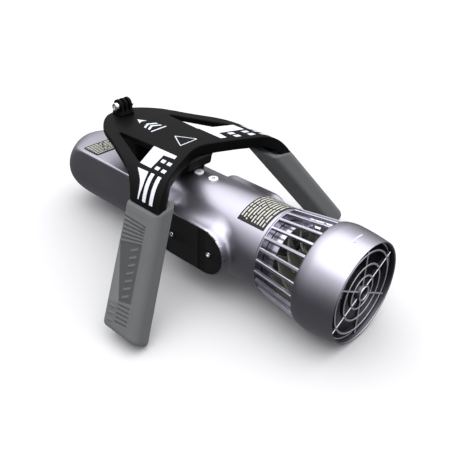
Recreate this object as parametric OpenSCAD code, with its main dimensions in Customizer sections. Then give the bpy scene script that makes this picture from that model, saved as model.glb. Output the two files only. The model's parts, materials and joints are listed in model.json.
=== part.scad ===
// Underwater scooter: a flat-decked nose housing, a round motor tube with a pod on each
// side, a ribbed intake cage and a jet nozzle, carried by two swept grips on a top bracket.
// Every length is in millimetres. Modules are written in the thrust-axis frame: X = 0 at
// the nozzle's mouth, +X aft along the thrust line, +Z up, -Y to the left of the driver.

/* [Hull] */
// Length from the tip of the nose to the mouth of the nozzle
overall_l = 420; // [412:1:430]
// Outer radius of the motor tube
tube_r = 44; // [43:0.5:45]
// Height of the flat nose deck above the thrust line
deck_z = 32; // [30:0.5:33]
// Length of the rounded end of the nose
nose_l = 60; // [52:1:66]
// Wall of the motor tube
tube_wall = 3; // [2.5:0.25:3]
// Wall of the nose housing
nose_wall = 3.5; // [3:0.25:4]

/* [Side pods] */
// Distance from the thrust line to a pod cover's outer face
pod_y = 54; // [53.5:0.5:56]
// Half height of a pod cover
cover_r = 24.5; // [23:0.5:25]
// Distance between the two screws of a pod cover
cover_screw_span = 52.5; // [51:0.5:54]

/* [Jet] */
// Radius of the nozzle's mouth
mouth_r = 50; // [49.5:0.25:50.5]
// Largest radius of the nozzle
belly_r = 55; // [54.5:0.25:57]
// Length of the nozzle
nozzle_l = 44.5; // [44.25:0.25:46]
// Ribs around the intake cage
rib_count = 24; // [20:1:28]
// Width of one intake rib
rib_w = 3; // [2:0.25:3.5]
// Blades on the impeller
blade_count = 13; // [9:1:14]
// Radial spokes of the outlet guard
spoke_count = 6; // [5:1:8]

/* [Bracket] */
// Height of the bracket's top face above the thrust line
plate_z = 73; // [72:0.5:74]
// Depth of the bracket's rim
plate_t = 12; // [11:0.5:12]

/* [Grips] */
// Sideways lean of a grip from the vertical, in degrees
grip_splay = 35.75; // [34:0.25:37]
// Backward sweep of a grip, in degrees
grip_sweep = 18; // [16:0.5:20]
// Fore-and-aft width of a grip
grip_w = 41; // [39:0.5:42]
// Thickness of a grip
grip_t = 23.5; // [22.5:0.25:25]

/* [Hidden] */
$fn = 64;

// Colours
anodised = "#8c8a96";
dark_plastic = "#262626";
grip_grey = "#6c7071";
silver = "#c9cbcf";
brass_tone = "#b8964a";

// Fits
run_gap = 0.05;
slip_gap = 0.1;
touch = 0.02;

// Stations along the thrust line
nose_base_x = -overall_l + nose_l;
seam_x = -262;
spigot_x = -250;
cage_x = -97;
rib_front_x = -95;
nozzle_x = -nozzle_l;
tube_bore_r = tube_r - tube_wall;
spigot_r = tube_bore_r - run_gap;
deck_edge_r = 2;

cap_inset = 0.06;

// Battery: cell centres [y, z], two rows of three over a row of two
cell_pitch = 23;
row_zs = [16, -7];
low_row_z = -27;
cell_places = [for (z = row_zs) for (i = [-1:1]) [i * cell_pitch, z],
               for (i = [-0.5, 0.5]) [i * cell_pitch, low_row_z]];
cell_r = 10.5;
cell_x0 = -350;
cell_x1 = -280;

// Screws and pins
screw_r = 2;
screw_head_r = 3.5;
counterbore_r = 3.8;
small_screw_r = 1.5;
post_screw_y = 11;
plate_screw_dx = 6;
capsule_pitch_r = 37.5;
capsule_turn = 45;
drive_pin_r = 1.5;
drive_pin_x = -66;
hinge_pin_r = 1.5;

// Crown screws
test_screw_r = 2.5;
test_head_r = 5.2;
test_xs = [-214, -193];
test_seat_z = tube_r - 0.4;

// Pod layout
pod_mid_x = -178.5;
pod_half_span = 25;
pod_z = -2.7;
pod_rim = 1.5;
pod_taper = 1;
cavity_mid_x = -172.75;
cover_t = 4;
cover_seat_y = pod_y - cover_t;
cavity_x = 20;
cavity_z = 19;
cavity_y = 25;
gasket_w = 1.8;

// Motor
can_r = 34;
can_bore_r = 31;
shaft_r = 4;
bearing_r = 11;
bearing_w = 7;
bearing_xs = [-149.5, -90];
ball_pitch_r = 7.5;
motor_x0 = -135;
motor_x1 = -100;
lead_zs = [-7, 0, 7];
lead_y = -24;
lead_r = 1.3;
tooth_count = 12;
magnet_count = 10;
rotor_r = 17;

// Jet
duct_r = 49;
ring_r = 51;
ring_x0 = nozzle_x - 1.3;
ring_x1 = -37.6;
nozzle_front_r = 53.3;
lug_count = 3;
lug_r = 52.4;
lug_x0 = -42.8;
lug_x1 = -40.2;
lug_angle = 12;
unlock_angle = 20;
blade_tip_r = 43.5;
hub_r = 15;
guard_radii = [17, 28.7, 42];

// Bracket
post_xs = [-308, -238];
post_l = 28;
post_w = 34;
plate_bottom_z = plate_z - plate_t;
skin_t = 4;

// Camera mount
pivot_x = -336;
pivot_z = plate_z + 10.5;
finger_t = 3;
finger_r = 7.5;
clamp_r = 2.5;

// Grips
collar_z = 51;
grip_foot_w = -126.6;
grip_front_u = -21.6;
grip_x = -190.5;
grip_y = 86.5;
trigger_w = 13;
pivot_u = -14.5;
pivot_w = -18;
tongue_u = 5;
spring_w = -52;

// ---------- helpers ----------

// Moves the thrust-axis frame to the part's frame: the middle of the footprint
module placed() translate([overall_l / 2, 0, belly_r]) children();

module x_rod(r, x0, x1) translate([x0, 0, 0]) rotate([0, 90, 0]) cylinder(r = r, h = x1 - x0);

module y_rod(r, y0, y1) translate([0, y1, 0]) rotate([90, 0, 0]) cylinder(r = r, h = y1 - y0);

module z_rod(r, z0, z1) translate([0, 0, z0]) cylinder(r = r, h = z1 - z0);

// A ring about the thrust line
module x_ring(r0, r1, x0, x1) {
    difference() {
        x_rod(r1, x0, x1);
        x_rod(r0, x0 - 1, x1 + 1);
    }
}

// A turned body about the thrust line; each point is [radius, x]
module turned(points, turn = 360) rotate([0, 90, 0]) rotate_extrude(angle = turn) polygon(points);

// An O-ring about the thrust line
module x_oring(ring_radius, cord_r, x) {
    translate([x, 0, 0]) rotate([0, 90, 0]) rotate_extrude() translate([ring_radius, 0])
        circle(r = cord_r, $fn = 24);
}

// Extrudes a [y, z] outline along X
module along_x(x0, x1) {
    translate([x0, 0, 0]) rotate([90, 0, 90]) linear_extrude(height = x1 - x0) children();
}

// Extrudes an [x, z] outline along Y, from y0 to y1
module along_y(y0, y1) {
    translate([0, y1, 0]) rotate([90, 0, 0]) linear_extrude(height = y1 - y0) children();
}

// Copies what is on the left to the right
module both_sides() {
    children();
    mirror([0, 1, 0]) children();
}

// Stands a child at count equal angles about the thrust line
module around_x(count, start = 0) {
    for (i = [0:count - 1]) rotate([start + 360 * i / count, 0, 0]) children();
}

// A socket-head screw along +Z, with its head under z = 0
module socket_screw(shank_r, head_r, head_h, length) {
    difference() {
        union() {
            z_rod(shank_r, 0, length);
            z_rod(head_r, -head_h, 0);
        }
        translate([0, 0, -head_h - 1]) cylinder(r = shank_r * 0.8, h = 1 + head_h * 0.6, $fn = 6);
    }
}

// ---------- hull ----------

// The nose section: half round below the thrust line, straight sides, flat deck
module deck_section(inset = 0) {
    half_w = tube_r - inset;
    top = deck_z - inset;
    intersection() {
        circle(r = half_w);
        translate([-half_w, -half_w]) square([2 * half_w, half_w + 0.01]);
    }
    translate([-half_w, 0]) square([2 * half_w, top - deck_edge_r]);
    translate([-half_w + deck_edge_r, 0]) square([2 * half_w - 2 * deck_edge_r, top]);
    for (side = [-1, 1])
        translate([side * (half_w - deck_edge_r), top - deck_edge_r]) circle(r = deck_edge_r);
}

// One slice of the rounded nose, s = 0 at its base and 1 at its tip
function nose_outline(s) =
    let (mid_z = -11.5 * s * s, half_w = (tube_r - cap_inset) * sqrt(1 - pow(s, 3)),
         top = mid_z + (deck_z - cap_inset - mid_z) * sqrt(1 - pow(s, 4.5)),
         bottom = mid_z - (mid_z + tube_r - cap_inset) * sqrt(1 - pow(s, 3.4)),
         power = 2 + 24 * pow(1 - s, 4))
    [for (a = [0:11.25:359])
        let (c = cos(a), n = sin(a), e = n > 0 ? power : 2, height = n > 0 ? top : bottom)
        [half_w * sign(c) * pow(abs(c), 2 / e),
         mid_z + abs(height - mid_z) * sign(n) * pow(abs(n), 2 / e)]];

module nose_cap() {
    slice_t = 0.2;
    tip_s = 0.9985;
    hull()
        for (s = [0, 0.12, 0.3, 0.5, 0.65, 0.78, 0.88, 0.95, 0.985, tip_s]) {
            x = nose_base_x - nose_l * s / tip_s;
            along_x(x, x + slice_t) polygon(nose_outline(s));
        }
}

module front_housing() {
    shoulder_x = seam_x - 4;
    cavity_x0 = -375;
    mouth_bore_r = 37.5;
    color(anodised) placed() difference() {
        union() {
            nose_cap();
            along_x(nose_base_x, seam_x) deck_section();
            x_rod(tube_r, shoulder_x, seam_x);
            turned([[0, shoulder_x], [tube_r, shoulder_x], [34, shoulder_x - 11],
                    [0, shoulder_x - 11]]);
            x_rod(spigot_r, seam_x, spigot_x);
        }
        along_x(cavity_x0, shoulder_x) deck_section(nose_wall);
        x_rod(mouth_bore_r, shoulder_x - 1, spigot_x + 1);
        x_ring(spigot_r - 1.8, tube_r + 1, seam_x + 4, seam_x + 6.4);
        for (side = [-1, 1])
            translate([post_xs[0], side * post_screw_y, 0])
                z_rod(screw_r + run_gap, deck_z - nose_wall - 1, deck_z + 1);
    }
}

module hull_seal() color("#1c1c1c") placed() x_oring(spigot_r - 0.87, 0.87, seam_x + 5.2);

module battery_frame() {
    plate = 3;
    color("#3a3a3a") placed() difference() {
        for (x = [cell_x0 + 3, cell_x1 - 6]) along_x(x, x + plate) deck_section(nose_wall + 0.6);
        for (p = cell_places) translate([0, p[0], p[1]]) x_rod(cell_r + slip_gap, cell_x0, cell_x1);
    }
}

module battery_cells() {
    color("#2f6f9f") placed() for (p = cell_places)
        translate([0, p[0], p[1]]) x_rod(cell_r, cell_x0, cell_x1);
}

module battery_links() {
    link_t = 0.3;
    link_w = 8;
    overrun = 4;
    color(silver) placed()
        for (x = [cell_x0 - link_t - touch, cell_x1 + touch]) {
            for (z = row_zs) battery_link(x, z, 2 * (cell_pitch + overrun), link_t, link_w);
            battery_link(x, low_row_z, cell_pitch + 2 * overrun - 1, link_t, link_w);
        }
}

// A flat strip across one row of cells
module battery_link(x, z, length, thick, width)
    translate([x, -length / 2, z - width / 2]) cube([thick, length, width]);

module management_board() {
    board_x = -274;
    color("#1f6b3a") placed() {
        translate([board_x, -25, -20]) cube([1.6, 50, 40]);
        for (y = [-18:9:18]) translate([board_x + 1.6, y - 3, -12]) cube([2, 6, 5]);
        translate([board_x + 1.6, -12, 4]) cube([3.5, 24, 9]);
    }
}

// A pod's outline: a rectangle with half-round ends
module pod_outline(r) {
    for (side = [-1, 1]) translate([pod_mid_x + side * pod_half_span, pod_z]) circle(r = r);
    translate([pod_mid_x - pod_half_span, pod_z - r]) square([2 * pod_half_span, 2 * r]);
}

// A pod: a straight-sided body whose outer end, at y0, tapers in towards the cover
module pod_body(y0, y1) {
    full_r = cover_r + pod_rim;
    tip_r = full_r - pod_taper;
    along_y(y0 + pod_taper, y1) pod_outline(full_r);
    translate([0, 0, pod_z]) along_x(pod_mid_x - pod_half_span, pod_mid_x + pod_half_span)
        polygon([[y0, -tip_r], [y0 + pod_taper, -full_r], [y0 + pod_taper + 1, -full_r],
                 [y0 + pod_taper + 1, full_r], [y0 + pod_taper, full_r], [y0, tip_r]]);
    for (side = [-1, 1])
        translate([pod_mid_x + side * pod_half_span, y0 + pod_taper, pod_z]) rotate([90, 0, 0])
            cylinder(r1 = full_r, r2 = tip_r, h = pod_taper);
}

module motor_housing() {
    pod_root_y = 28;
    rim_step = 0.6;
    color(anodised) placed() difference() {
        union() {
            x_rod(tube_r, seam_x + touch, cage_x);
            both_sides() pod_body(-pod_y + rim_step, -pod_root_y);
        }
        x_rod(tube_bore_r, seam_x - 1, cage_x + 1);
        both_sides() along_y(-pod_y, -cover_seat_y) pod_outline(cover_r + slip_gap);
        both_sides() {
            translate([cavity_mid_x - cavity_x, -cover_seat_y - 1, pod_z - cavity_z])
                cube([2 * cavity_x, cover_seat_y + 1 - cavity_y, 2 * cavity_z]);
            gasket_ring(0, slip_gap);
            for (side = [-1, 1])
                translate([cavity_mid_x + side * cover_screw_span / 2, 0, pod_z])
                    y_rod(small_screw_r + touch, -cover_seat_y - 1, -cover_seat_y + 8);
        }
        for (x = test_xs) translate([x, 0, 0]) {
            z_rod(test_screw_r + touch, 30, tube_r + 1);
            z_rod(test_head_r + 0.2, test_seat_z, tube_r + 1);
            z_rod(3.9, test_seat_z - 1.3, tube_r);
        }
        for (side = [-1, 1])
            translate([post_xs[1], side * post_screw_y, 0]) z_rod(screw_r + run_gap, 30, tube_r + 1);
    }
}

// The square gasket ring in the pod's face; grow widens its groove
module gasket_ring(bottom, grow) {
    outer_x = cavity_x + 3.5;
    outer_z = cavity_z + 3;
    translate([cavity_mid_x, 0, pod_z]) along_y(-cover_seat_y - bottom, -cover_seat_y + 1 + bottom)
        difference() {
            square([2 * (outer_x + grow), 2 * (outer_z + grow)], center = true);
            square([2 * (outer_x - gasket_w - grow), 2 * (outer_z - gasket_w - grow)], center = true);
        }
}

module pod_gaskets() color("#303030") placed() both_sides() gasket_ring(-touch, -touch);

module pod_cover() {
    groove_x = 26.5;
    bevel = 1;
    difference() {
        union() {
            along_y(-pod_y + bevel, -cover_seat_y - touch) pod_outline(cover_r);
            along_y(-pod_y, -pod_y + bevel) pod_outline(cover_r - bevel);
        }
        for (side = [-1, 1]) {
            translate([pod_mid_x + side * groove_x - 1.5, -pod_y - 1, pod_z - cover_r - 1])
                cube([3, 2, 2 * cover_r + 2]);
            translate([cavity_mid_x + side * cover_screw_span / 2, 0, pod_z])
                y_rod(small_screw_r + run_gap, -pod_y - 1, -cover_seat_y + 1);
        }
    }
}

module left_pod_cover() color(dark_plastic) placed() pod_cover();

module right_pod_cover() color(dark_plastic) placed() mirror([0, 1, 0]) pod_cover();

module pod_cover_screws() {
    color(silver) placed() both_sides() for (side = [-1, 1])
        translate([cavity_mid_x + side * cover_screw_span / 2, -pod_y, pod_z])
            rotate([-90, 0, 0]) socket_screw(small_screw_r, 2.75, 1.8, 11);
}

// A small circuit board in a pod, with its taller parts facing the thrust line
module pod_board() {
    board_y = -46;
    face_y = board_y + 1.6;
    translate([cavity_mid_x, 0, pod_z]) {
        translate([-18, board_y, -17]) cube([36, 1.6, 34]);
        for (i = [0:2]) translate([-14 + 10 * i, face_y, -12]) cube([7, 4, 9]);
        for (x = [-8, 8]) translate([x, 0, 9]) y_rod(5, face_y, -31);
    }
}

module controller_board() {
    color("#1f6b3a") placed() {
        pod_board();
        for (z = lead_zs) translate([-186, -44.4, z - 2]) cube([4, 22, 4]);
    }
}

module power_board() color("#1f6b3a") placed() mirror([0, 1, 0]) pod_board();

// Two sealed screws on the tube's crown
module test_screws() {
    color(silver) placed() for (x = test_xs)
        translate([x, 0, test_seat_z]) rotate([180, 0, 0])
            socket_screw(test_screw_r, test_head_r, 1.7, 8);
}

module test_screw_seals() {
    color("#1c1c1c") placed() for (x = test_xs)
        translate([x, 0, test_seat_z - 0.65]) rotate_extrude() translate([3.2, 0])
            circle(r = 0.6, $fn = 24);
}

// ---------- motor ----------

module motor_capsule() {
    can_x0 = -150;
    tail_x = -78;
    seat_x = bearing_xs[1] + bearing_w;
    flange_x = -105;
    color(anodised) placed() difference() {
        union() {
            x_rod(can_r, can_x0, tail_x - 4);
            turned([[0, tail_x - 4], [can_r, tail_x - 4], [can_r - 6, tail_x], [0, tail_x]]);
            x_rod(spigot_r, flange_x, cage_x - 2);
        }
        x_rod(can_bore_r, can_x0 - 1, bearing_xs[1]);
        x_rod(bearing_r, bearing_xs[1] - 1, seat_x);
        x_rod(8, seat_x - 1, tail_x + 1);
        x_ring(spigot_r - 1.8, tube_r, -103.2, -100.8);
        around_x(4, capsule_turn) translate([0, 0, capsule_pitch_r])
            x_rod(small_screw_r + run_gap, flange_x - 1, cage_x);
    }
}

module capsule_seal() color("#1c1c1c") placed() x_oring(spigot_r - 0.87, 0.87, -102);

module capsule_screws() {
    color(silver) placed() around_x(4, capsule_turn) translate([-105, 0, capsule_pitch_r])
        rotate([0, 90, 0]) socket_screw(small_screw_r, 2.7, 2.6, 9.4);
}

module motor_end_plate() {
    color(silver) placed() difference() {
        x_rod(can_bore_r - touch, -150, bearing_xs[0] + bearing_w);
        x_rod(bearing_r, -151, -140);
        for (z = lead_zs) translate([0, lead_y, z]) x_rod(lead_r + 0.2, -151, -140);
    }
}

module motor_stator() {
    yoke_r = 26;
    color("#5a5a5e") placed() {
        x_ring(yoke_r, can_bore_r - touch, motor_x0, motor_x1);
        around_x(tooth_count) translate([motor_x0, -2.5, rotor_r + 0.8])
            cube([motor_x1 - motor_x0, 5, yoke_r - rotor_r - 0.5]);
    }
}

module stator_coils() {
    overhang = 3;
    color("#a8602c") placed() around_x(tooth_count) difference() {
        translate([motor_x0 - overhang, -4.2, 20])
            cube([motor_x1 - motor_x0 + 2 * overhang, 8.4, 5.2]);
        translate([motor_x0 - touch, -2.5 - touch, 19])
            cube([motor_x1 - motor_x0 + 2 * touch, 5 + 2 * touch, 8]);
    }
}

module motor_leads() {
    color("#8a1f1f") placed() for (z = lead_zs)
        translate([0, lead_y, z]) x_rod(lead_r, -182 + touch, motor_x0 - 3 - touch);
}

module bearing_outer_rings() {
    color(silver) placed() for (x = bearing_xs) x_ring(8.7, bearing_r, x, x + bearing_w);
}

module bearing_inner_rings() {
    color(silver) placed() for (x = bearing_xs) x_ring(shaft_r, 6.3, x, x + bearing_w);
}

module bearing_balls() {
    color("#dddddd") placed() for (x = bearing_xs)
        around_x(9) translate([x + bearing_w / 2, 0, ball_pitch_r]) sphere(r = 1.15, $fn = 24);
}

module shaft_seal() color("#1c1c1c") placed() x_ring(shaft_r + run_gap, 8, -82.8, -78.6);

module motor_shaft() {
    color(silver) placed() difference() {
        x_rod(shaft_r, -152, -44.5);
        translate([drive_pin_x, 0, 0]) z_rod(drive_pin_r, -10, 10);
    }
}

module motor_rotor() color("#5a5a5e") placed() x_ring(shaft_r, rotor_r - 3, motor_x0, motor_x1);

module rotor_magnets() {
    sweep = 360 / magnet_count - 3;
    color("#c0c0c8") placed() around_x(magnet_count)
        turned([[rotor_r - 3, motor_x0 + 1], [rotor_r, motor_x0 + 1],
                [rotor_r, motor_x1 - 1], [rotor_r - 3, motor_x1 - 1]], sweep);
}

// ---------- jet ----------

module intake_cage() {
    rib_front_r = 45.9;
    rib_rear_r = 52.4;
    rib_depth = 3.4;
    rib_run = nozzle_x - 0.2 - (rib_front_x - 1);
    slope = atan((rib_rear_r - rib_front_r) / rib_run);
    color(anodised) placed() difference() {
        union() {
            x_rod(spigot_r, cage_x - 2 + touch, cage_x + 1);
            turned([[0, cage_x + touch], [tube_r, cage_x + touch], [46, cage_x + 1.5],
                    [46, rib_front_x + 1], [0, rib_front_x + 1]]);
            difference() {
                x_rod(ring_r, ring_x0, ring_x1);
                x_rod(ring_r - 3, ring_x0 - 1, ring_x1 + 1);
            }
            around_x(rib_count) translate([rib_front_x - 1, -rib_w / 2, rib_front_r])
                rotate([0, -slope, 0]) translate([0, 0, -rib_depth])
                    cube([rib_run / cos(slope), rib_w, rib_depth]);
            around_x(lug_count) turned([[ring_r - 1, lug_x0], [lug_r, lug_x0], [lug_r, lug_x1],
                [ring_r - 1, lug_x1]], lug_angle);
        }
        x_rod(can_r + 1, cage_x - 3, rib_front_x + 2);
        around_x(4, capsule_turn) translate([0, 0, capsule_pitch_r])
            x_rod(small_screw_r + touch, cage_x - 3, -95.3);
    }
}

// The nozzle's outer radius at t = 0 (front edge) to 1 (mouth)
function nozzle_r(t, belly_t = 0.25, mouth_wall = 1.6) =
    nozzle_front_r + (belly_r - nozzle_front_r) * sin(min(1, t / belly_t) * 90)
    - (belly_r - mouth_r - mouth_wall) * pow(max(0, (t - belly_t) / (1 - belly_t)), 1.6);

module nozzle() {
    bore_r = ring_r + run_gap;
    groove_r = lug_r + 0.2;
    groove_x0 = lug_x0 - 0.2;
    groove_x1 = lug_x1 + 0.2;
    slot_r = groove_r - 0.1;
    steps = 16;
    color(anodised) placed() difference() {
        turned(concat(
            [for (i = [0:steps]) [nozzle_r(i / steps), nozzle_x * (1 - i / steps)]],
            [[mouth_r, 0], [duct_r, -6], [duct_r, ring_x1 + slip_gap], [bore_r, ring_x1 + slip_gap],
             [bore_r, groove_x1], [groove_r, groove_x1], [groove_r, groove_x0], [bore_r, groove_x0],
             [bore_r, nozzle_x]]));
        around_x(lug_count, -unlock_angle - 1)
            turned([[ring_r - 1, nozzle_x - 1], [slot_r, nozzle_x - 1], [slot_r, groove_x0 + 1],
                    [ring_r - 1, groove_x0 + 1]], lug_angle + 2);
    }
}

module outlet_guard() {
    bar = 1.8;
    bar_x0 = -7;
    bar_x1 = -3;
    color(anodised) placed() difference() {
        union() {
            for (r = guard_radii) x_ring(r - bar / 2, r + bar / 2, bar_x0, bar_x1);
            x_ring(duct_r - 0.9, duct_r - touch, bar_x0 - 4, bar_x0 + 1);
            x_rod(8, -14, -0.5);
            around_x(spoke_count) translate([bar_x0 + 0.3, -0.8, 7])
                cube([bar_x1 - bar_x0 - 0.6, 1.6, duct_r - 7.5]);
        }
        x_rod(6.3, -8, 0);
    }
}

// One impeller blade: a curved strip run out along the radius
module blade() {
    blade_t = 2;
    arc_r = 30;
    lean = 34;
    root_z = 12;
    span = 40;
    rotate([0, 0, lean]) translate([0, -arc_r, root_z]) linear_extrude(height = span)
        intersection() {
            difference() {
                circle(r = arc_r);
                circle(r = arc_r - blade_t);
            }
            translate([-span / 3, 0]) square([2 * span / 3, span]);
        }
}

module impeller() {
    x0 = -76;
    x1 = -52;
    color("#3b3d38") placed() difference() {
        union() {
            turned([[0, x0], [hub_r, x0], [hub_r - 3, x1], [0, x1]]);
            intersection() {
                around_x(blade_count) translate([(x0 + x1) / 2, 0, 0]) blade();
                x_ring(hub_r - 4, blade_tip_r, x0 + 1, x1 - 1);
            }
        }
        x_rod(shaft_r, x0 - 1, x1 + 1);
        translate([drive_pin_x, 0, 0]) z_rod(drive_pin_r, -11, 11);
    }
}

module drive_pin() color(silver) placed() translate([drive_pin_x, 0, 0]) z_rod(drive_pin_r, -9, 9);

module impeller_nut() {
    color(silver) placed() difference() {
        union() {
            translate([-52, 0, 0]) rotate([0, 90, 0]) cylinder(r = 7, h = 5, $fn = 6);
            turned([[0, -47], [5.6, -47], [5, -44], [3, -42.4], [0, -42]]);
        }
        x_rod(shaft_r, -53, -44.4);
    }
}

// ---------- bracket ----------

// Half of the bracket's outline in plan, from the nose to the rear edge
plate_half = [[-348, 0], [-347, 12], [-343, 19.5], [-335, 29], [-322, 40], [-298, 52], [-271, 64.5],
    [-262, 68], [-190, 68], [-197, 58], [-208, 38], [-214, 26], [-216, 16], [-216, 0]];

module plate_outline() {
    polygon(plate_half);
    mirror([0, 1]) polygon(plate_half);
}

// A three-cornered opening on each side, given by the centres of its rounded corners
window_corners = [[-295.2, 36.2], [-249.5, 34.1], [-234.9, 61.2]];

module windows() {
    corner_r = 1.5;
    both_flat() hull() for (c = window_corners) translate(c) circle(r = corner_r);
}

module both_flat() {
    children();
    mirror([0, 1]) children();
}

// One thin slice of an arm, tilted to the arm's run
module arm_slice(x0, x1, y, z, thick, tilt) {
    translate([(x0 + x1) / 2, -y, z]) rotate([tilt, 0, 0]) cube([x1 - x0, 0.4, thick], center = true);
}

module arm() {
    hull() {
        arm_slice(-269, -190, 66, plate_z - 6, 11.9, 0);
        arm_slice(-247, -185, 75, plate_z - 7.5, 12.5, -16);
    }
    hull() {
        arm_slice(-247, -185, 75, plate_z - 7.5, 12.5, -16);
        arm_slice(-229, -179, 85, 59.5, 14, -38);
        translate([-209.5, -96.5, collar_z + touch]) cube([38, 18, 0.4]);
    }
    in_grip() spigot(0);
}

// The arm's tongue inside the grip; grow and top open it into the slot it sits in
module spigot(grow, top = 2) {
    foot_w = -104;
    translate([-5 - grow, -4.5 - grow, foot_w - grow])
        cube([20 + 2 * grow, 9 + 2 * grow, top - foot_w + grow]);
}

module top_bracket() {
    color(dark_plastic) placed() difference() {
        union() {
            difference() {
                translate([0, 0, plate_bottom_z]) linear_extrude(height = plate_t) plate_outline();
                translate([0, 0, plate_bottom_z - 1]) linear_extrude(height = plate_t + 2) windows();
                translate([0, 0, plate_bottom_z - 1])
                    linear_extrude(height = plate_t - skin_t + 1) rib_pockets();
                wing_hollows();
            }
            both_sides() arm();
        }
        for (x = post_xs) for (side = [-1, 1])
            translate([x + side * plate_screw_dx, 0, 0])
                z_rod(screw_r + touch, plate_bottom_z - 1, plate_z - 3);
        translate([pivot_x, 0, 0]) z_rod(screw_r + run_gap, plate_bottom_z, plate_z + 1);
        both_sides() in_grip() tongue_screw_hole();
    }
}

// The screw hole in the foot of the tongue
module tongue_screw_hole() translate([tongue_u, 0, 0]) z_rod(screw_r + touch, -106, -86);

// The plate's wings are thinner than its spine and its rear edge, and thicken into the arms
module wing_hollows() {
    wing_t = 6.5;
    spine_y = 27;
    arm_y = 66;
    for (side = [-1, 1]) along_x(-350, -232)
        polygon([[side * spine_y, plate_bottom_z - 1], [side * spine_y, plate_z - wing_t],
                 [side * (arm_y - 8), plate_z - wing_t], [side * arm_y, plate_bottom_z - 1]]);
}

// Hollows under the plate, clear of the posts and the windows
module rib_pockets() {
    translate([-343, -12]) square([18, 24]);
    translate([-290, -24]) square([34, 48]);
}

// A post, bored for the screws that hold the plate and the hull; tail lengthens it aft, above
// a step that slopes up from its foot
module post(x, base_z, bore_base, tail = 0) {
    top_z = plate_bottom_z - touch;
    foot_x = x + post_l / 2;
    step_out = 2.2;
    step_z0 = bore_base + 1;
    step_z1 = bore_base + 6.5;
    difference() {
        union() {
            translate([x - post_l / 2, -post_w / 2, base_z]) cube([post_l, post_w, top_z - base_z]);
            if (tail > 0) along_y(-post_w / 2, post_w / 2)
                polygon([[x, step_z0], [foot_x + step_out, step_z0], [foot_x + tail - 1, step_z1],
                         [foot_x + tail, top_z], [x, top_z]]);
        }
        for (side = [-1, 1]) {
            translate([x + side * plate_screw_dx, 0, 0]) {
                z_rod(screw_r + run_gap, base_z - 1, plate_bottom_z + 1);
                z_rod(counterbore_r, base_z - 1, bore_base + 5);
            }
            translate([x, side * post_screw_y, 0]) z_rod(screw_r + touch, base_z - 1, bore_base + 13);
        }
    }
}

module front_post() color("#2c2c2e") placed() post(post_xs[0], deck_z + touch, deck_z);

module rear_post() {
    color("#2c2c2e") placed() difference() {
        post(post_xs[1], 38, tube_r, 13);
        x_rod(tube_r + touch, seam_x, -200);
    }
}

module bracket_screws() {
    bases = [deck_z, tube_r];
    rise = 4.9;
    color(silver) placed() for (i = [0, 1]) for (side = [-1, 1])
        translate([post_xs[i] + side * plate_screw_dx, 0, bases[i] + rise])
            socket_screw(screw_r, screw_head_r, 4, plate_z - 4 - bases[i] - rise);
}

module post_screws() {
    color(silver) placed() for (y = [-post_screw_y, post_screw_y]) {
        translate([post_xs[0], y, deck_z - nose_wall - touch])
            socket_screw(screw_r, screw_head_r, 3, 16);
        translate([post_xs[1], y, 38]) socket_screw(screw_r, screw_head_r, 3, 18);
    }
}

// ---------- camera mount ----------

module camera_mount() {
    color(dark_plastic) placed() difference() {
        union() {
            translate([pivot_x - 8.5, -9, plate_z + touch]) cube([17, 18, 2.5]);
            for (y = [-6, 0, 6]) {
                translate([pivot_x - finger_r, y - finger_t / 2, plate_z + 1])
                    cube([2 * finger_r, finger_t, pivot_z - plate_z - 1]);
                translate([pivot_x, 0, pivot_z]) y_rod(finger_r, y - finger_t / 2, y + finger_t / 2);
            }
        }
        translate([pivot_x, 0, pivot_z]) y_rod(clamp_r + run_gap, -10, 10);
        translate([pivot_x, 0, 0]) z_rod(screw_r + touch, plate_z - 1, plate_z + 3.3);
    }
}

module camera_screw() {
    color(silver) placed() translate([pivot_x, -finger_r - touch, pivot_z])
        rotate([-90, 0, 0]) socket_screw(clamp_r, 4.4, 5, 20.5);
}

module camera_nut() {
    color(silver) placed() translate([pivot_x, finger_r + 4.1, pivot_z]) rotate([90, 0, 0])
        difference() {
            cylinder(r = 4.6, h = 4, $fn = 6);
            translate([0, 0, -1]) cylinder(r = clamp_r + run_gap, h = 6);
        }
}

module camera_mount_screw() {
    color(silver) placed() translate([pivot_x, 0, plate_z - skin_t - touch])
        socket_screw(screw_r, screw_head_r, 3, 6.8);
}

// ---------- grips ----------

// The left grip's own frame: Z up its length, X aft across it, -Y out of its outer face
module in_grip() {
    translate([grip_x, -grip_y, collar_z]) rotate([-grip_splay, 0, 0]) rotate([0, -grip_sweep, 0])
        children();
}

module grip_section() {
    half_w = grip_w / 2;
    half_t = grip_t / 2;
    hull() {
        translate([grip_front_u + 2.5, -half_t + 2.5]) circle(r = 2.5, $fn = 32);
        translate([-half_w + 7, half_t - 7]) circle(r = 7, $fn = 32);
        translate([half_w - 9, -half_t + 9]) circle(r = 9, $fn = 32);
        translate([half_w - 5, half_t - 5]) circle(r = 5, $fn = 32);
    }
}

module grip() {
    slab = 60;
    difference() {
        in_grip() translate([0, 0, -145]) linear_extrude(height = 170) grip_section();
        translate([grip_x - 150, -grip_y - 150, collar_z]) cube([300, 300, slab]);
        in_grip() translate([0, 0, grip_foot_w]) rotate([0, grip_sweep, 0])
            translate([-100, -100, -slab]) cube([200, 200, slab]);
        in_grip() {
            spigot(slip_gap, 14);
            translate([grip_front_u - 1, -trigger_w / 2 - 0.4, -68])
                cube([-grip_front_u - 8, trigger_w + 0.8, 58]);
            translate([pivot_u, 0, pivot_w]) y_rod(hinge_pin_r, -10, 10);
            translate([-8.6, -4, -40]) cube([2.6, 8, 12]);
            translate([tongue_u, 0, 0]) {
                z_rod(screw_r + run_gap, -140, -90);
                z_rod(counterbore_r, -140, -110);
            }
        }
    }
}

module left_grip() color(grip_grey) placed() grip();

module right_grip() color(grip_grey) placed() mirror([0, 1, 0]) grip();

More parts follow.
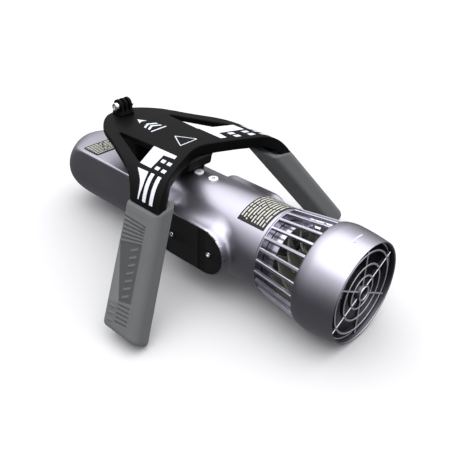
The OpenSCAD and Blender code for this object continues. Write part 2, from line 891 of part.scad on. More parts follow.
module grip_screws() {
    color(silver) placed() both_sides() in_grip()
        translate([tongue_u, 0, -110 - touch]) socket_screw(screw_r, screw_head_r, 4, 22);
}

module trigger_pins() {
    color(silver) placed() both_sides() in_grip()
        translate([pivot_u, 0, pivot_w]) y_rod(hinge_pin_r, -9.5, 9.5);
}

// A finger paddle, hinged at its top end
module trigger() {
    half_w = trigger_w / 2;
    difference() {
        union() {
            translate([pivot_u, 0, pivot_w]) y_rod(4, -half_w, half_w);
            along_y(-half_w, half_w) polygon([[-14.5, -14], [-19.5, -14], [-24.5, -24], [-25.5, -40],
                [-24, -56], [-20.5, -64], [-17, -64], [-15.5, -50]]);
        }
        translate([pivot_u, 0, pivot_w]) y_rod(hinge_pin_r + run_gap, -half_w - 1, half_w + 1);
    }
}

module left_trigger() color("#3c3e40") placed() in_grip() trigger();

module right_trigger() color("#3c3e40") placed() mirror([0, 1, 0]) in_grip() trigger();

// A light coil spring between the pocket's back wall and the paddle
module trigger_spring() {
    coil_r = 2.6;
    first_u = -14.6;
    pitch = 1.4;
    for (i = [0:3]) translate([first_u + pitch * i, 0, spring_w]) rotate([0, 90, 0])
        rotate_extrude() translate([coil_r, 0]) circle(r = 0.4, $fn = 16);
    translate([first_u, -0.3, spring_w + coil_r - 0.2]) cube([3 * pitch, 0.6, 0.4]);
}

module left_trigger_spring() color(silver) placed() in_grip() trigger_spring();

module right_trigger_spring() color(silver) placed() mirror([0, 1, 0]) in_grip() trigger_spring();

module trigger_switches() {
    color(brass_tone) placed() both_sides() in_grip()
        translate([-8.5, -3.9, -39.9]) cube([2.4, 7.8, 11.8]);
}

// ---------- plates ----------

module nose_label() {
    color("#b9b8ac") placed() translate([-351.75, 0, deck_z + touch]) linear_extrude(height = 0.4)
        rounded_plate(26.5, 78, 3);
}

// A flat plate with four rounded corners
module rounded_plate(length, width, r) {
    square([length - 2 * r, width], center = true);
    square([length, width - 2 * r], center = true);
    for (sx = [-1, 1]) for (sy = [-1, 1])
        translate([sx * (length / 2 - r), sy * (width / 2 - r)]) circle(r = r);
}

module tube_label() {
    sweep = 79;
    x0 = -133.5;
    x1 = -100.5;
    r0 = tube_r + touch;
    r1 = tube_r + 0.35;
    color("#b9b8ac") placed() rotate([180 - sweep / 2, 0, 0])
        turned([[r0, x0], [r1, x0], [r1, x1], [r0, x1]], sweep);
}

front_housing();
hull_seal();
battery_frame();
battery_cells();
battery_links();
management_board();
motor_housing();
left_pod_cover();
right_pod_cover();
pod_gaskets();
pod_cover_screws();
controller_board();
power_board();
test_screws();
test_screw_seals();
motor_capsule();
capsule_seal();
capsule_screws();
motor_end_plate();
motor_stator();
stator_coils();
bearing_outer_rings();
bearing_balls();
shaft_seal();
motor_leads();
intake_cage();
top_bracket();
front_post();
rear_post();
bracket_screws();
post_screws();
camera_mount();
camera_nut();
camera_mount_screw();
left_grip();
right_grip();
grip_screws();
trigger_pins();
left_trigger_spring();
right_trigger_spring();
trigger_switches();
nose_label();
tube_label();
motor_rotor();
rotor_magnets();
motor_shaft();
bearing_inner_rings();
impeller();
drive_pin();
impeller_nut();
nozzle();
outlet_guard();
left_trigger();
right_trigger();
camera_screw();
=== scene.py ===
"""Underwater scooter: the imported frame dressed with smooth, detailed pieces and procedural finishes.

Shapes are written in millimetres in the thrust-axis frame: X = 0 at the nozzle's mouth and +X aft,
Z = 0 on the thrust line, -Y to the driver's left. place() turns such a point into the row frame.
"""
import bpy
import bmesh
import json
import math
import numpy as np
from mathutils import Matrix, Vector


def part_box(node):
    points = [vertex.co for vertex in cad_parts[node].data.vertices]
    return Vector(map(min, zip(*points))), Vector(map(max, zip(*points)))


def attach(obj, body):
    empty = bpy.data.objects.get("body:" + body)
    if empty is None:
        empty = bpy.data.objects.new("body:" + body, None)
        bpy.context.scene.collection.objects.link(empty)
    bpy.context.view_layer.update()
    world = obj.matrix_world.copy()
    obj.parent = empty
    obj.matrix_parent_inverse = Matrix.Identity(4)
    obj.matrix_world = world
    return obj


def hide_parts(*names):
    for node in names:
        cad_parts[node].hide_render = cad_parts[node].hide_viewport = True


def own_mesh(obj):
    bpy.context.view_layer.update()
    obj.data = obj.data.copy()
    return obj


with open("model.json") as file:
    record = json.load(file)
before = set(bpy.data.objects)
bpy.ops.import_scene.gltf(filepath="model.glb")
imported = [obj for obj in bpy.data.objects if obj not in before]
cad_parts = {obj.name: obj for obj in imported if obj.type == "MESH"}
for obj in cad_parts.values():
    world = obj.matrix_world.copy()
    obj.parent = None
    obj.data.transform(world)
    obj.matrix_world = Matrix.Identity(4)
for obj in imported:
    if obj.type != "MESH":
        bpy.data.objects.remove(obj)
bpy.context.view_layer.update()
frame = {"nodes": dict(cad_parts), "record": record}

MM = 0.001
nozzle_lo, nozzle_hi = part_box("nozzle")
MOUTH_X = nozzle_hi[0]
AXIS_Z = (nozzle_lo[2] + nozzle_hi[2]) / 2


def place(p):
    """Thrust-axis millimetres to row-frame metres."""
    return (MOUTH_X + p[0] * MM, p[1] * MM, AXIS_Z + p[2] * MM)


# ---------------- mesh helpers

PLATE_WELD = 2e-3


def lerp(a, b, t):
    return a + (b - a) * t


def smoothstep(a, b, x):
    t = np.clip((x - a) / (b - a), 0.0, 1.0)
    return t * t * (3 - 2 * t)


def spline(points, per):
    """A smooth line through points (Catmull-Rom), per steps between neighbours."""
    p = [2 * np.array(points[0]) - np.array(points[1])]
    p += [np.array(q, float) for q in points]
    p += [2 * np.array(points[-1]) - np.array(points[-2])]
    line = []
    for i in range(1, len(p) - 2):
        for k in range(per):
            t = k / per
            a, b, c, d = p[i - 1], p[i], p[i + 1], p[i + 2]
            line.append(0.5 * (2 * b + (c - a) * t + (2 * a - 5 * b + 4 * c - d) * t * t
                               + (3 * b - a - 3 * c + d) * t ** 3))
    line.append(p[-2])
    return [tuple(q) for q in line]


def loft(rings, cap=True, loop=False):
    """Vertices and faces of a tube through equal rings of points; closed round itself if loop."""
    count = len(rings[0])
    verts = [tuple(p) for ring in rings for p in ring]
    faces = []
    total = len(rings)
    for i in range(total if loop else total - 1):
        a, b = i * count, ((i + 1) % total) * count
        for j in range(count):
            k = (j + 1) % count
            faces.append((a + j, a + k, b + k, b + j))
    if cap and not loop:
        for ring, start in ((0, 0), (total - 1, (total - 1) * count)):
            centre = len(verts)
            verts.append(tuple(np.mean(np.array(rings[ring]), axis=0)))
            for j in range(count):
                faces.append((start + j, start + (j + 1) % count, centre))
    return verts, faces


def polar(angle, radius, x):
    """A point round the thrust line; angle 0 is +Y and 90 degrees is +Z."""
    return (x, radius * math.cos(angle), radius * math.sin(angle))


def turned(profile, count, start=0.0, sweep=2 * math.pi):
    """A solid turned about the thrust line; profile is a closed list of (radius, x).

    A radius may be a function of the angle.
    """
    full = sweep > 2 * math.pi - 1e-6
    steps = count if full else count + 1
    rings = []
    for i in range(steps):
        angle = start + sweep * i / count
        rings.append([polar(angle, r(angle) if callable(r) else r, x) for r, x in profile])
    if full:
        return loft(rings, loop=True)
    verts, faces = loft(rings, cap=False)
    last = (steps - 1) * len(profile)
    faces.append(tuple(range(len(profile))))
    faces.append(tuple(last + j for j in range(len(profile))))
    return verts, faces


def block(lo, hi):
    """A box as vertices and faces."""
    verts = [(x, y, z) for x in (lo[0], hi[0]) for y in (lo[1], hi[1]) for z in (lo[2], hi[2])]
    faces = [(0, 1, 3, 2), (4, 6, 7, 5), (0, 4, 5, 1), (2, 3, 7, 6), (0, 2, 6, 4), (1, 5, 7, 3)]
    return verts, faces


def merge(*parts):
    """Several (vertices, faces) as one."""
    verts, faces = [], []
    for part_verts, part_faces in parts:
        base = len(verts)
        verts += part_verts
        faces += [tuple(base + i for i in face) for face in part_faces]
    return verts, faces


def moved(part, function):
    """A part with function applied to each point."""
    verts, faces = part
    return [tuple(function(v)) for v in verts], faces


def mirrored(part):
    """A part's mirror image on the other side of the scooter."""
    return moved(part, lambda v: (v[0], -v[1], v[2]))


def spun(part, angle):
    """A part turned about the thrust line."""
    c, s = math.cos(angle), math.sin(angle)
    return moved(part, lambda v: (v[0], v[1] * c - v[2] * s, v[1] * s + v[2] * c))


def to_bmesh(part, weld=1e-4):
    """A part as a bmesh, its points within weld joined and its faces turned outwards."""
    bm = bmesh.new()
    made = [bm.verts.new(v) for v in part[0]]
    for face in part[1]:
        try:
            bm.faces.new([made[i] for i in face])
        except ValueError:
            pass
    bmesh.ops.remove_doubles(bm, verts=bm.verts, dist=weld)
    bmesh.ops.dissolve_degenerate(bm, edges=bm.edges, dist=weld)
    bmesh.ops.recalc_face_normals(bm, faces=bm.faces)
    return bm


def from_bmesh(bm):
    """A bmesh as vertices and faces; the bmesh is freed."""
    for i, v in enumerate(bm.verts):
        v.index = i
    part = [tuple(v.co) for v in bm.verts], [tuple(v.index for v in f.verts) for f in bm.faces]
    bm.free()
    return part


def evaluated(obj):
    """An object's mesh with its curves filled and its modifiers applied."""
    return bpy.data.meshes.new_from_object(obj.evaluated_get(bpy.context.evaluated_depsgraph_get()))


def plate(outlines, low, high, bevel, steps=3):
    """A flat plate in the XY plane with rounded edges; the first outline is its rim, the rest are holes."""
    curve = bpy.data.curves.new("plate", "CURVE")
    curve.dimensions = "2D"
    curve.fill_mode = "BOTH"
    curve.extrude = max((high - low) / 2 - bevel, 0.0)
    curve.bevel_depth = bevel
    curve.bevel_resolution = steps
    curve.offset = -bevel
    for outline in outlines:
        line = curve.splines.new("POLY")
        line.points.add(len(outline) - 1)
        for point, (a, b) in zip(line.points, outline):
            point.co = (a, b, 0, 1)
        line.use_cyclic_u = True
    holder = bpy.data.objects.new("plate", curve)
    bpy.context.scene.collection.objects.link(holder)
    mesh = evaluated(holder)
    middle = (low + high) / 2
    verts = [(v.co.x, v.co.y, v.co.z + middle) for v in mesh.vertices]
    faces = [tuple(p.vertices) for p in mesh.polygons]
    bpy.data.objects.remove(holder)
    bpy.data.curves.remove(curve)
    bpy.data.meshes.remove(mesh)
    return from_bmesh(to_bmesh((verts, faces), weld=PLATE_WELD))


def carve(part, cutters):
    """A part with each cutter taken away by an exact boolean."""
    def holder(source, name):
        bm = to_bmesh(source)
        mesh = bpy.data.meshes.new(name)
        bm.to_mesh(mesh)
        bm.free()
        obj = bpy.data.objects.new(name, mesh)
        bpy.context.scene.collection.objects.link(obj)
        return obj

    base = holder(part, "base")
    tools = []
    for cutter in cutters:
        tool = holder(cutter, "tool")
        tools.append(tool)
        cut = base.modifiers.new("cut", "BOOLEAN")
        cut.operation = "DIFFERENCE"
        cut.solver = "EXACT"
        cut.object = tool
    mesh = evaluated(base)
    result = ([tuple(v.co) for v in mesh.vertices], [tuple(p.vertices) for p in mesh.polygons])
    for obj in [base] + tools:
        data = obj.data
        bpy.data.objects.remove(obj)
        bpy.data.meshes.remove(data)
    bpy.data.meshes.remove(mesh)
    return result


def piece(name, part, body, material, slot, *nodes, sharp=35):
    """Makes a part into a shown piece on a body; the CAD nodes named, if any, are hidden."""
    bm = to_bmesh(part)
    for v in bm.verts:
        v.co = Vector(place(v.co))
    mesh = bpy.data.meshes.new(name)
    bm.to_mesh(mesh)
    bm.free()
    mesh.shade_smooth()
    mesh.set_sharp_from_angle(angle=math.radians(sharp))
    mesh.materials.append(material)
    obj = bpy.data.objects.new(name, mesh)
    bpy.context.scene.collection.objects.link(obj)
    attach(obj, body)
    if nodes:
        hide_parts(*nodes)
    return obj


# ---------------- materials

def add_node(nodes, kind, **values):
    """A new shader node with inputs set; an underscore stands for a space in an input's name."""
    node = nodes.new("ShaderNode" + kind)
    for key, value in values.items():
        node.inputs[key.replace("_", " ")].default_value = value
    return node


def surface(name, tint, metal=0.0, rough=0.5, grain=900.0, stretch=(1, 1, 1), bump=0.12, vary=0.08,
            wear=0.2, spread=0.1, sheen=0.0, coat=0.0, specular=0.5):
    """A procedural finish: fine grain in bump and roughness, broad tint variation, and worn bright edges."""
    material = bpy.data.materials.new(name)
    material.use_nodes = True
    nodes, link = material.node_tree.nodes, material.node_tree.links.new
    shader = nodes["Principled BSDF"]
    shader.inputs["Metallic"].default_value = metal
    shader.inputs["Sheen Weight"].default_value = sheen
    shader.inputs["Coat Weight"].default_value = coat
    shader.inputs["Specular IOR Level"].default_value = specular
    coords = add_node(nodes, "TexCoord")
    mapping = add_node(nodes, "Mapping", Scale=stretch)
    link(coords.outputs["Object"], mapping.inputs["Vector"])
    fine = add_node(nodes, "TexNoise", Scale=grain, Detail=4)
    link(mapping.outputs["Vector"], fine.inputs["Vector"])
    broad = add_node(nodes, "TexNoise", Scale=14, Detail=3)
    link(coords.outputs["Object"], broad.inputs["Vector"])

    blend = add_node(nodes, "Math")
    blend.operation = "MULTIPLY_ADD"
    blend.inputs[1].default_value = 0.6
    link(broad.outputs["Fac"], blend.inputs[0])
    fine_part = add_node(nodes, "Math")
    fine_part.operation = "MULTIPLY"
    fine_part.inputs[1].default_value = 0.4
    link(fine.outputs["Fac"], fine_part.inputs[0])
    link(fine_part.outputs[0], blend.inputs[2])
    ramp = add_node(nodes, "ValToRGB")
    ramp.color_ramp.elements[0].position = 0.3
    ramp.color_ramp.elements[1].position = 0.7
    ramp.color_ramp.elements[0].color = tuple(c * (1 - vary) for c in tint) + (1,)
    ramp.color_ramp.elements[1].color = tuple(min(1, c * (1 + vary)) for c in tint) + (1,)
    link(blend.outputs[0], ramp.inputs["Fac"])

    # Pointiness is above a half on outer edges
    shape = add_node(nodes, "NewGeometry")
    edge = add_node(nodes, "MapRange", From_Min=0.53, From_Max=0.62, To_Max=wear)
    link(shape.outputs["Pointiness"], edge.inputs["Value"])
    worn = add_node(nodes, "Mix")
    worn.data_type = "RGBA"
    link(edge.outputs["Result"], worn.inputs["Factor"])
    link(ramp.outputs["Color"], worn.inputs["A"])
    worn.inputs["B"].default_value = tuple(min(1, c * 1.8 + 0.08) for c in tint) + (1,)
    link(worn.outputs["Result"], shader.inputs["Base Color"])

    gloss = add_node(nodes, "MapRange", From_Min=0.3, From_Max=0.7,
                     To_Min=max(0.02, rough - spread), To_Max=min(1.0, rough + spread))
    link(blend.outputs[0], gloss.inputs["Value"])
    link(gloss.outputs["Result"], shader.inputs["Roughness"])

    relief = add_node(nodes, "Bump", Strength=bump, Distance=0.0002)
    link(fine.outputs["Fac"], relief.inputs["Height"])
    link(relief.outputs["Normal"], shader.inputs["Normal"])
    return material


ANODISED = (0.275, 0.268, 0.31)
hull_metal = surface("hull_anodised", ANODISED, metal=1, rough=0.36, grain=60, stretch=(1, 30, 30),
                     bump=0.02, vary=0.05, wear=0.35, spread=0.04)
ring_metal = surface("turned_anodised", ANODISED, metal=1, rough=0.3, grain=60, stretch=(30, 1, 1),
                     bump=0.06, vary=0.06, wear=0.45, spread=0.05)
cage_metal = surface("cage_anodised", (0.27, 0.262, 0.305), metal=1, rough=0.3, grain=700, bump=0.08,
                     vary=0.06, wear=0.4, spread=0.06)
# A near-black copy of the anodised finish: painted shade for the nozzle's inner wall
duct_painted_shade = surface("duct_wall_painted_shade", (0.05, 0.049, 0.056), metal=1, rough=0.42, grain=60,
                     stretch=(30, 1, 1), bump=0.08, vary=0.1, wear=0.2)
# A near-black copy of the anodised finish: painted shade for the outlet guard's walls
guard_painted_shade = surface("guard_wall_painted_shade", (0.09, 0.088, 0.1), metal=1, rough=0.4, grain=700, bump=0.08, vary=0.08,
                     wear=0.2)
# A lighter copy of the anodised finish: painted highlight for the outlet guard's aft faces
guard_painted_highlight = surface("guard_aft_painted_highlight", (0.42, 0.415, 0.46), metal=0.85, rough=0.36, grain=700, bump=0.08,
                      vary=0.06, wear=0.6, spread=0.06)
capsule_metal = surface("capsule_anodised", (0.36, 0.355, 0.4), metal=1, rough=0.22, grain=60,
                        stretch=(30, 1, 1), bump=0.08, vary=0.08, wear=0.3, spread=0.06)
black_plastic = surface("bracket_plastic", (0.0026, 0.0026, 0.0027), rough=0.42, grain=1500, bump=0.18,
                        vary=0.15, wear=0.12, spread=0.06, specular=0.025)
post_plastic = surface("post_plastic", (0.0035, 0.0035, 0.0037), rough=0.5, grain=1300, bump=0.2,
                       vary=0.15, wear=0.12, specular=0.035)
cover_plastic = surface("cover_plastic", (0.006, 0.006, 0.006), rough=0.38, grain=1700, bump=0.14,
                        vary=0.15, wear=0.1, specular=0.07)
grip_rubber = surface("grip_rubber", (0.066, 0.069, 0.0705), rough=0.72, grain=1800, bump=0.3, vary=0.1,
                      wear=0.3, sheen=0.08, specular=0.12)
trigger_plastic = surface("trigger_plastic", (0.03, 0.033, 0.034), rough=0.45, grain=1500, bump=0.2,
                          vary=0.12, wear=0.2)
steel = surface("bright_steel", (0.66, 0.66, 0.68), metal=1, rough=0.24, grain=1200, bump=0.1, vary=0.06,
                wear=0.3, spread=0.08)
seal_rubber = surface("seal_rubber", (0.012, 0.012, 0.012), rough=0.6, grain=2000, bump=0.2, vary=0.2,
                      wear=0.1)
frame_plastic = surface("frame_plastic", (0.03, 0.03, 0.034), rough=0.5, grain=1500, bump=0.2, vary=0.12)
cell_wrap = surface("cell_wrap", (0.02, 0.11, 0.25), rough=0.3, grain=400, bump=0.05, vary=0.1, coat=0.3)
board_green = surface("solder_mask", (0.008, 0.09, 0.035), rough=0.3, grain=350, bump=0.3, vary=0.35,
                      coat=0.2)
lamination = surface("lamination", (0.16, 0.16, 0.17), metal=1, rough=0.4, grain=60,
                     stretch=(60, 1, 1), bump=0.3, vary=0.15)
copper = surface("enamelled_copper", (0.55, 0.2, 0.07), metal=1, rough=0.3, grain=60,
                 stretch=(1, 30, 30), bump=0.4, vary=0.15)
impeller_plastic = surface("impeller_plastic", (0.075, 0.077, 0.063), rough=0.42, grain=900, bump=0.12,
                           vary=0.2, wear=0.35, coat=0.15, specular=0.2)
crown_steel = surface("satin_nickel", (0.82, 0.82, 0.84), metal=0.55, rough=0.42, grain=1200, bump=0.08,
                      vary=0.05, wear=0.2)
# A grey for the crown screws' hex sockets: painted shade in the holes
crown_socket_painted_shade = surface("crown_socket_painted_shade", (0.2, 0.2, 0.19), metal=0.4, rough=0.6, grain=1200, bump=0.08,
                       vary=0.05, wear=0.1)
grip_panel = surface("grip_panel", (0.04, 0.0415, 0.042), rough=0.7, grain=1800, bump=0.3, vary=0.1,
                     wear=0.3, specular=0.12)
grip_wedge = surface("grip_wedge", (0.088, 0.09, 0.088), rough=0.7, grain=1800, bump=0.3, vary=0.08,
                     wear=0.3, specular=0.12)
print_white = surface("print_white", (0.36, 0.37, 0.41), rough=0.5, grain=1600, bump=0.1, vary=0.04,
                      wear=0.05)
label_dark = surface("label_dark", (0.009, 0.009, 0.008), rough=0.5, grain=900, bump=0.08, vary=0.2,
                     wear=0.1, specular=0.06)
label_light = surface("label_light", (0.3, 0.295, 0.26), rough=0.42, grain=900, bump=0.08, vary=0.08,
                      wear=0.05)

# The CAD nodes that stay in sight take the finish of their material slot
SLOT_FINISH = {
    "anodised": capsule_metal, "black_plastic": black_plastic, "post_metal": post_plastic,
    "grip_rubber": grip_rubber, "trigger_plastic": trigger_plastic, "steel": steel,
    "seal_rubber": seal_rubber, "frame_plastic": frame_plastic, "cell_can": cell_wrap,
    "circuit": board_green, "lamination": lamination, "copper": copper,
    "label_foil": label_dark, "impeller_plastic": impeller_plastic,
}
for part_row in frame["record"]["subparts"]:
    carried = frame["nodes"][part_row["node"]]
    finish = SLOT_FINISH[part_row["material_slot"]]
    if not carried.material_slots:
        carried.data.materials.append(finish)
    for carried_slot in carried.material_slots:
        carried_slot.material = finish


# ---------------- nose housing

TUBE_R = 44.0
TUBE_BORE = 41.0
DECK_Z = 32.0
NOSE_BASE = -360.0
NOSE_L = 59.95
NOSE_DROP = 11.5
NOSE_WALL = 3.5
DECK_POWER = 34.0
SPIGOT_R = 40.95
NECK_R = 37.5
DECK_END = -277.0
BULKHEAD_X = -267.0
LIP_X = -250.0
SEAM_X = -262.0
CAGE_X = -97.0

# A ring's angles: every 3 degrees, and finer round the deck's two edges
corner = math.atan2(DECK_Z, TUBE_R)
ring_angles = list(np.radians(np.arange(0, 360, 3.0)))
ring_angles += [side + corner_step for side in (corner, math.pi - corner)
                for corner_step in np.radians(np.arange(-4.5, 4.6, 0.5))]
ring_angles = sorted(set(round(a, 5) for a in ring_angles))


def superellipse(angle, half_w, height, power):
    """Polar radius of |y / half_w|^power + |z / height|^power = 1."""
    c, s = abs(math.cos(angle)) / half_w, abs(math.sin(angle)) / height
    return (c ** power + s ** power) ** (-1 / power)


def nose_ring(x, s, inset=0.0):
    """A ring of the nose housing: s is 0 along the straight part and 1 at the tip."""
    mid = -NOSE_DROP * s * s
    half_w = (TUBE_R - inset) * math.sqrt(max(0, 1 - s ** 3))
    top = (DECK_Z - inset - mid) * math.sqrt(max(0, 1 - s ** 4.5))
    bottom = (mid + TUBE_R - inset) * math.sqrt(max(0, 1 - s ** 3.4))
    power = 2 + DECK_POWER * (1 - s) ** 5
    ring = []
    for a in ring_angles:
        up = math.sin(a) > 0
        radius = superellipse(a, half_w, top if up else bottom, power if up else 2)
        ring.append((x, radius * math.cos(a), mid + radius * math.sin(a)))
    return ring


def round_ring(x, radius):
    """A ring with the tube's round section."""
    return [polar(a, radius, x) for a in ring_angles]


def blend_rings(a, b, t):
    """A ring part way from a to b."""
    return [tuple(lerp(np.array(p), np.array(q), t)) for p, q in zip(a, b)]


nose = []
for k in range(26):
    turn = math.radians(1.5 + 88.5 * k / 25)
    s = math.cos(turn)
    nose.append(nose_ring(NOSE_BASE - NOSE_L * s, s))
nose += [nose_ring(x, 0) for x in (-340, -320, -300, -285, DECK_END)]
for k in range(1, 9):
    t = k / 8
    x = lerp(DECK_END, BULKHEAD_X, t)
    nose.append(blend_rings(nose_ring(x, 0), round_ring(x, TUBE_R - 0.4), smoothstep(0, 1, t)))
nose += [round_ring(x, r) for x, r in (
    (BULKHEAD_X + 1, TUBE_R), (SEAM_X - 0.5, TUBE_R), (SEAM_X - 0.05, TUBE_R - 0.5),
    (SEAM_X - 0.05, SPIGOT_R), (LIP_X - 0.6, SPIGOT_R), (LIP_X, SPIGOT_R - 0.65),
    (LIP_X, NECK_R), (BULKHEAD_X, NECK_R))]
nose += [nose_ring(BULKHEAD_X, 0, NOSE_WALL), nose_ring(-340, 0, NOSE_WALL),
         nose_ring(-374, 0.25, NOSE_WALL + 1.5)]
piece("nose_housing", loft(nose), "hull", hull_metal, "anodised", "front_housing", sharp=50)


# ---------------- motor tube with blended pods

POD_X = -178.5
POD_HALF = 25.0
POD_Z = -2.7
POD_FACE = 53.4
POD_SCREWS = (-146.5, -199.0)
POD_R = 26.0
POD_EDGE_R = 1.3
COVER_R = 24.5
COVER_SEAT = 50.0
COVER_FACE = 54.0
SCREW_SEAT = 53.4
CROWN_XS = (-214, -193)
CROWN_SEAT = 43.0
WELL_R = 5.5
tube_angles = np.radians(np.arange(0, 360, 1.0))
# Stations along the tube, close together where the pods rise from it
tube_xs = np.concatenate([[SEAM_X + 0.02, SEAM_X + 0.5], np.arange(-261, -236, 3.0),
                          np.arange(-236, -226, 0.6), np.arange(-226, -132, 1.8),
                          np.arange(-132, -121, 0.6), np.arange(-121, -98, 3.0), [-97.5, CAGE_X]])


def hull_distance(x, y, z):
    """Signed distance to the tube and its two pods, blended with a broad fillet."""
    tube = np.hypot(y, z) - TUBE_R
    side = np.hypot(np.maximum(np.abs(x - POD_X) - POD_HALF, 0), z - POD_Z) - POD_R + POD_EDGE_R
    out = np.abs(y) - POD_FACE + POD_EDGE_R
    pod = (np.minimum(np.maximum(side, out), 0)
           + np.hypot(np.maximum(side, 0), np.maximum(out, 0)) - POD_EDGE_R)
    fillet = 4.0 + 5.0 * smoothstep(12, 24, z)
    h = np.maximum(fillet - np.abs(tube - pod), 0) / fillet
    return np.minimum(tube, pod) - h * h * fillet * 0.25


def outer_radius(x, angles):
    """Where rays from the thrust line leave the hull."""
    low = np.full(angles.shape, TUBE_R - 1)
    high = np.full(angles.shape, 72.0)
    for _ in range(26):
        mid = (low + high) / 2
        inside = hull_distance(x, mid * np.cos(angles), mid * np.sin(angles)) < 0
        low, high = np.where(inside, mid, low), np.where(inside, high, mid)
    return low


tube_rings = []
for x in tube_xs:
    radii = outer_radius(x, tube_angles)
    if x < SEAM_X + 0.3 or x > CAGE_X - 0.3:
        radii = radii - 0.5
    tube_rings.append([polar(a, r, x) for a, r in zip(tube_angles, radii)])
for x in (CAGE_X, SEAM_X + 0.02):
    tube_rings.append([polar(a, TUBE_BORE, x) for a in tube_angles])
tube = loft(tube_rings, loop=True)


def stadium(radius, count=28):
    """The outline of a pod cover in X and Z."""
    points = []
    for side, first in ((1, -90), (-1, 90)):
        for k in range(count + 1):
            a = math.radians(first + 180 * k / count)
            points.append((POD_X + side * POD_HALF + radius * math.cos(a),
                           POD_Z + radius * math.sin(a)))
    return points


def stand(part):
    """Turns a plate drawn in X and Z to face -Y; its thickness runs outwards."""
    return moved(part, lambda v: (v[0], -v[2], v[1]))


cuts = []
recess = stand(plate([stadium(COVER_R + 0.25)], COVER_SEAT, POD_FACE + 3, 0.01, 0))
cavity = block((POD_SCREWS[1] + 6.25, -COVER_SEAT - 1, POD_Z - 19),
               (POD_SCREWS[0] - 6.25, -TUBE_BORE + 3, POD_Z + 19))
for cut in (recess, cavity):
    cuts += [cut, mirrored(cut)]
for crown_x in CROWN_XS:
    well = turned([(0.001, CROWN_SEAT), (WELL_R, CROWN_SEAT), (WELL_R, CROWN_SEAT + 4),
                   (0.001, CROWN_SEAT + 4)], 48)
    cuts.append(moved(well, lambda v, cx=crown_x: (cx + v[1], v[2], v[0])))
piece("motor_tube", carve(tube, cuts), "hull", hull_metal, "anodised", "motor_housing", sharp=40)


# ---------------- pod covers and screws

GROOVE_XS = (-161.2, -213.6)
GROOVE_W = 9.6
GROOVE_FACE = 53.45
CROWN_SOCKET_R = 1.6


def hexagon(half):
    """Polar radius of a hexagon whose flats are twice half apart."""
    def radius(angle):
        return half / math.cos((angle + math.pi / 6) % (math.pi / 3) - math.pi / 6)
    return radius


def cap_screw(shank_r, head_r, head_h, length, socket_r=None):
    """A socket screw along +X with its head behind x = 0."""
    edge = min(0.5, head_r * 0.18)
    socket = hexagon(socket_r or shank_r * 0.75)
    profile = [(0.001, length), (shank_r * 0.8, length), (shank_r, length - 0.4), (shank_r, 0),
               (head_r - edge * 0.4, 0), (head_r, -edge * 0.4), (head_r, -head_h + edge),
               (head_r - edge * 0.3, -head_h + edge * 0.3), (head_r - edge, -head_h),
               (lambda a: socket(a) + 0.35, -head_h), (socket, -head_h + 0.3),
               (socket, -head_h * 0.4), (0.001, -head_h * 0.35)]
    return turned(profile, 48)


def aim(part, at, axis):
    """Turns a part drawn along +X to run along axis, and moves it to at."""
    turn = Vector((1, 0, 0)).rotation_difference(Vector(axis)).to_matrix()
    return moved(part, lambda v: tuple(turn @ Vector(v) + Vector(at)))


cover = stand(plate([stadium(COVER_R)], COVER_SEAT + 0.02, COVER_FACE, 0.9))
grooves = [block((x, -60, -40), (x + GROOVE_W, -GROOVE_FACE, 40)) for x in GROOVE_XS]
dishes = [aim(turned([(0.001, 0), (4.2, 0), (4.9, 2), (0.001, 2)], 48),
              (x, -SCREW_SEAT + 0.1, POD_Z), (0, -1, 0)) for x in POD_SCREWS]
cover = carve(cover, grooves + dishes)
for side, part in (("left", cover), ("right", mirrored(cover))):
    piece(side + "_cover", part, "hull", cover_plastic, "black_plastic", side + "_pod_cover")
screws = [aim(cap_screw(1.5, 2.75, 1.8, 11), (x, -SCREW_SEAT, POD_Z), (0, 1, 0)) for x in POD_SCREWS]
screws += [mirrored(s) for s in screws]
piece("cover_screws", merge(*screws), "hull", steel, "steel", "pod_cover_screws")
crown = [aim(cap_screw(2.5, 5.2, 1.7, 8, CROWN_SOCKET_R), (x, 0, CROWN_SEAT + 0.4), (0, 0, -1))
         for x in CROWN_XS]
crown = piece("crown_screws", merge(*crown), "hull", crown_steel, "steel", "test_screws")
# The faces inside the hex sockets take the grey as painted shade
crown.data.materials.append(crown_socket_painted_shade)
for face in crown.data.polygons:
    at = face.center
    from_axis = min(math.hypot((at.x - MOUTH_X) / MM - x, at.y / MM) for x in CROWN_XS)
    if from_axis < CROWN_SOCKET_R + 0.3:
        face.material_index = 1


# ---------------- intake cage

RIBS = 24
RIB_DEPTH = 3.6
RIB_HALF = 1.55
BAYONET_LUGS = 3
front_ring = turned([(35, -99), (SPIGOT_R, -99), (SPIGOT_R, CAGE_X + 0.02), (43.7, CAGE_X + 0.02),
                     (44.1, -96.6), (45.6, -95.4), (45.9, -94.6), (45.6, -94.1), (45.2, -94), (42.6, -94),
                     (42, -94.3), (35, -94.5)], 192)
rear_ring = turned([(48, -45.8), (50.6, -45.8), (51, -45.4), (51, -38), (50.6, -37.6), (48, -37.6)], 192)
rib_rings = []
for k in range(13):
    x = lerp(-95.5, -44.75, k / 12)
    outer = lerp(45.7, 52.3, k / 12)
    flank = [(RIB_HALF, RIB_DEPTH), (RIB_HALF * 0.97, 0.5), (RIB_HALF * 0.62, 0.03)]
    rib_rings.append([(x, -half, outer - depth) for half, depth in flank]
                     + [(x, half, outer - depth) for half, depth in reversed(flank)])
rib = loft(rib_rings)
lug_profile = [(50, -42.8), (52.2, -42.8), (52.4, -42.5), (52.4, -40.5), (52.2, -40.2), (50, -40.2)]
parts = [front_ring, rear_ring]
parts += [spun(rib, 2 * math.pi * i / RIBS) for i in range(RIBS)]
for i in range(BAYONET_LUGS):
    first = -math.pi / 2 + 2 * math.pi * i / BAYONET_LUGS
    parts.append(turned(lug_profile, 12, first, math.radians(12)))
piece("cage", merge(*parts), "hull", cage_metal, "anodised", "intake_cage")


# ---------------- nozzle and guard

NOZZLE_L = 44.5
SOCKET_R = 51.06
DUCT_R = 49.0
SWELL_END = 0.25
GUARD_RINGS = (17, 28.7, 42)
SPOKES = 6


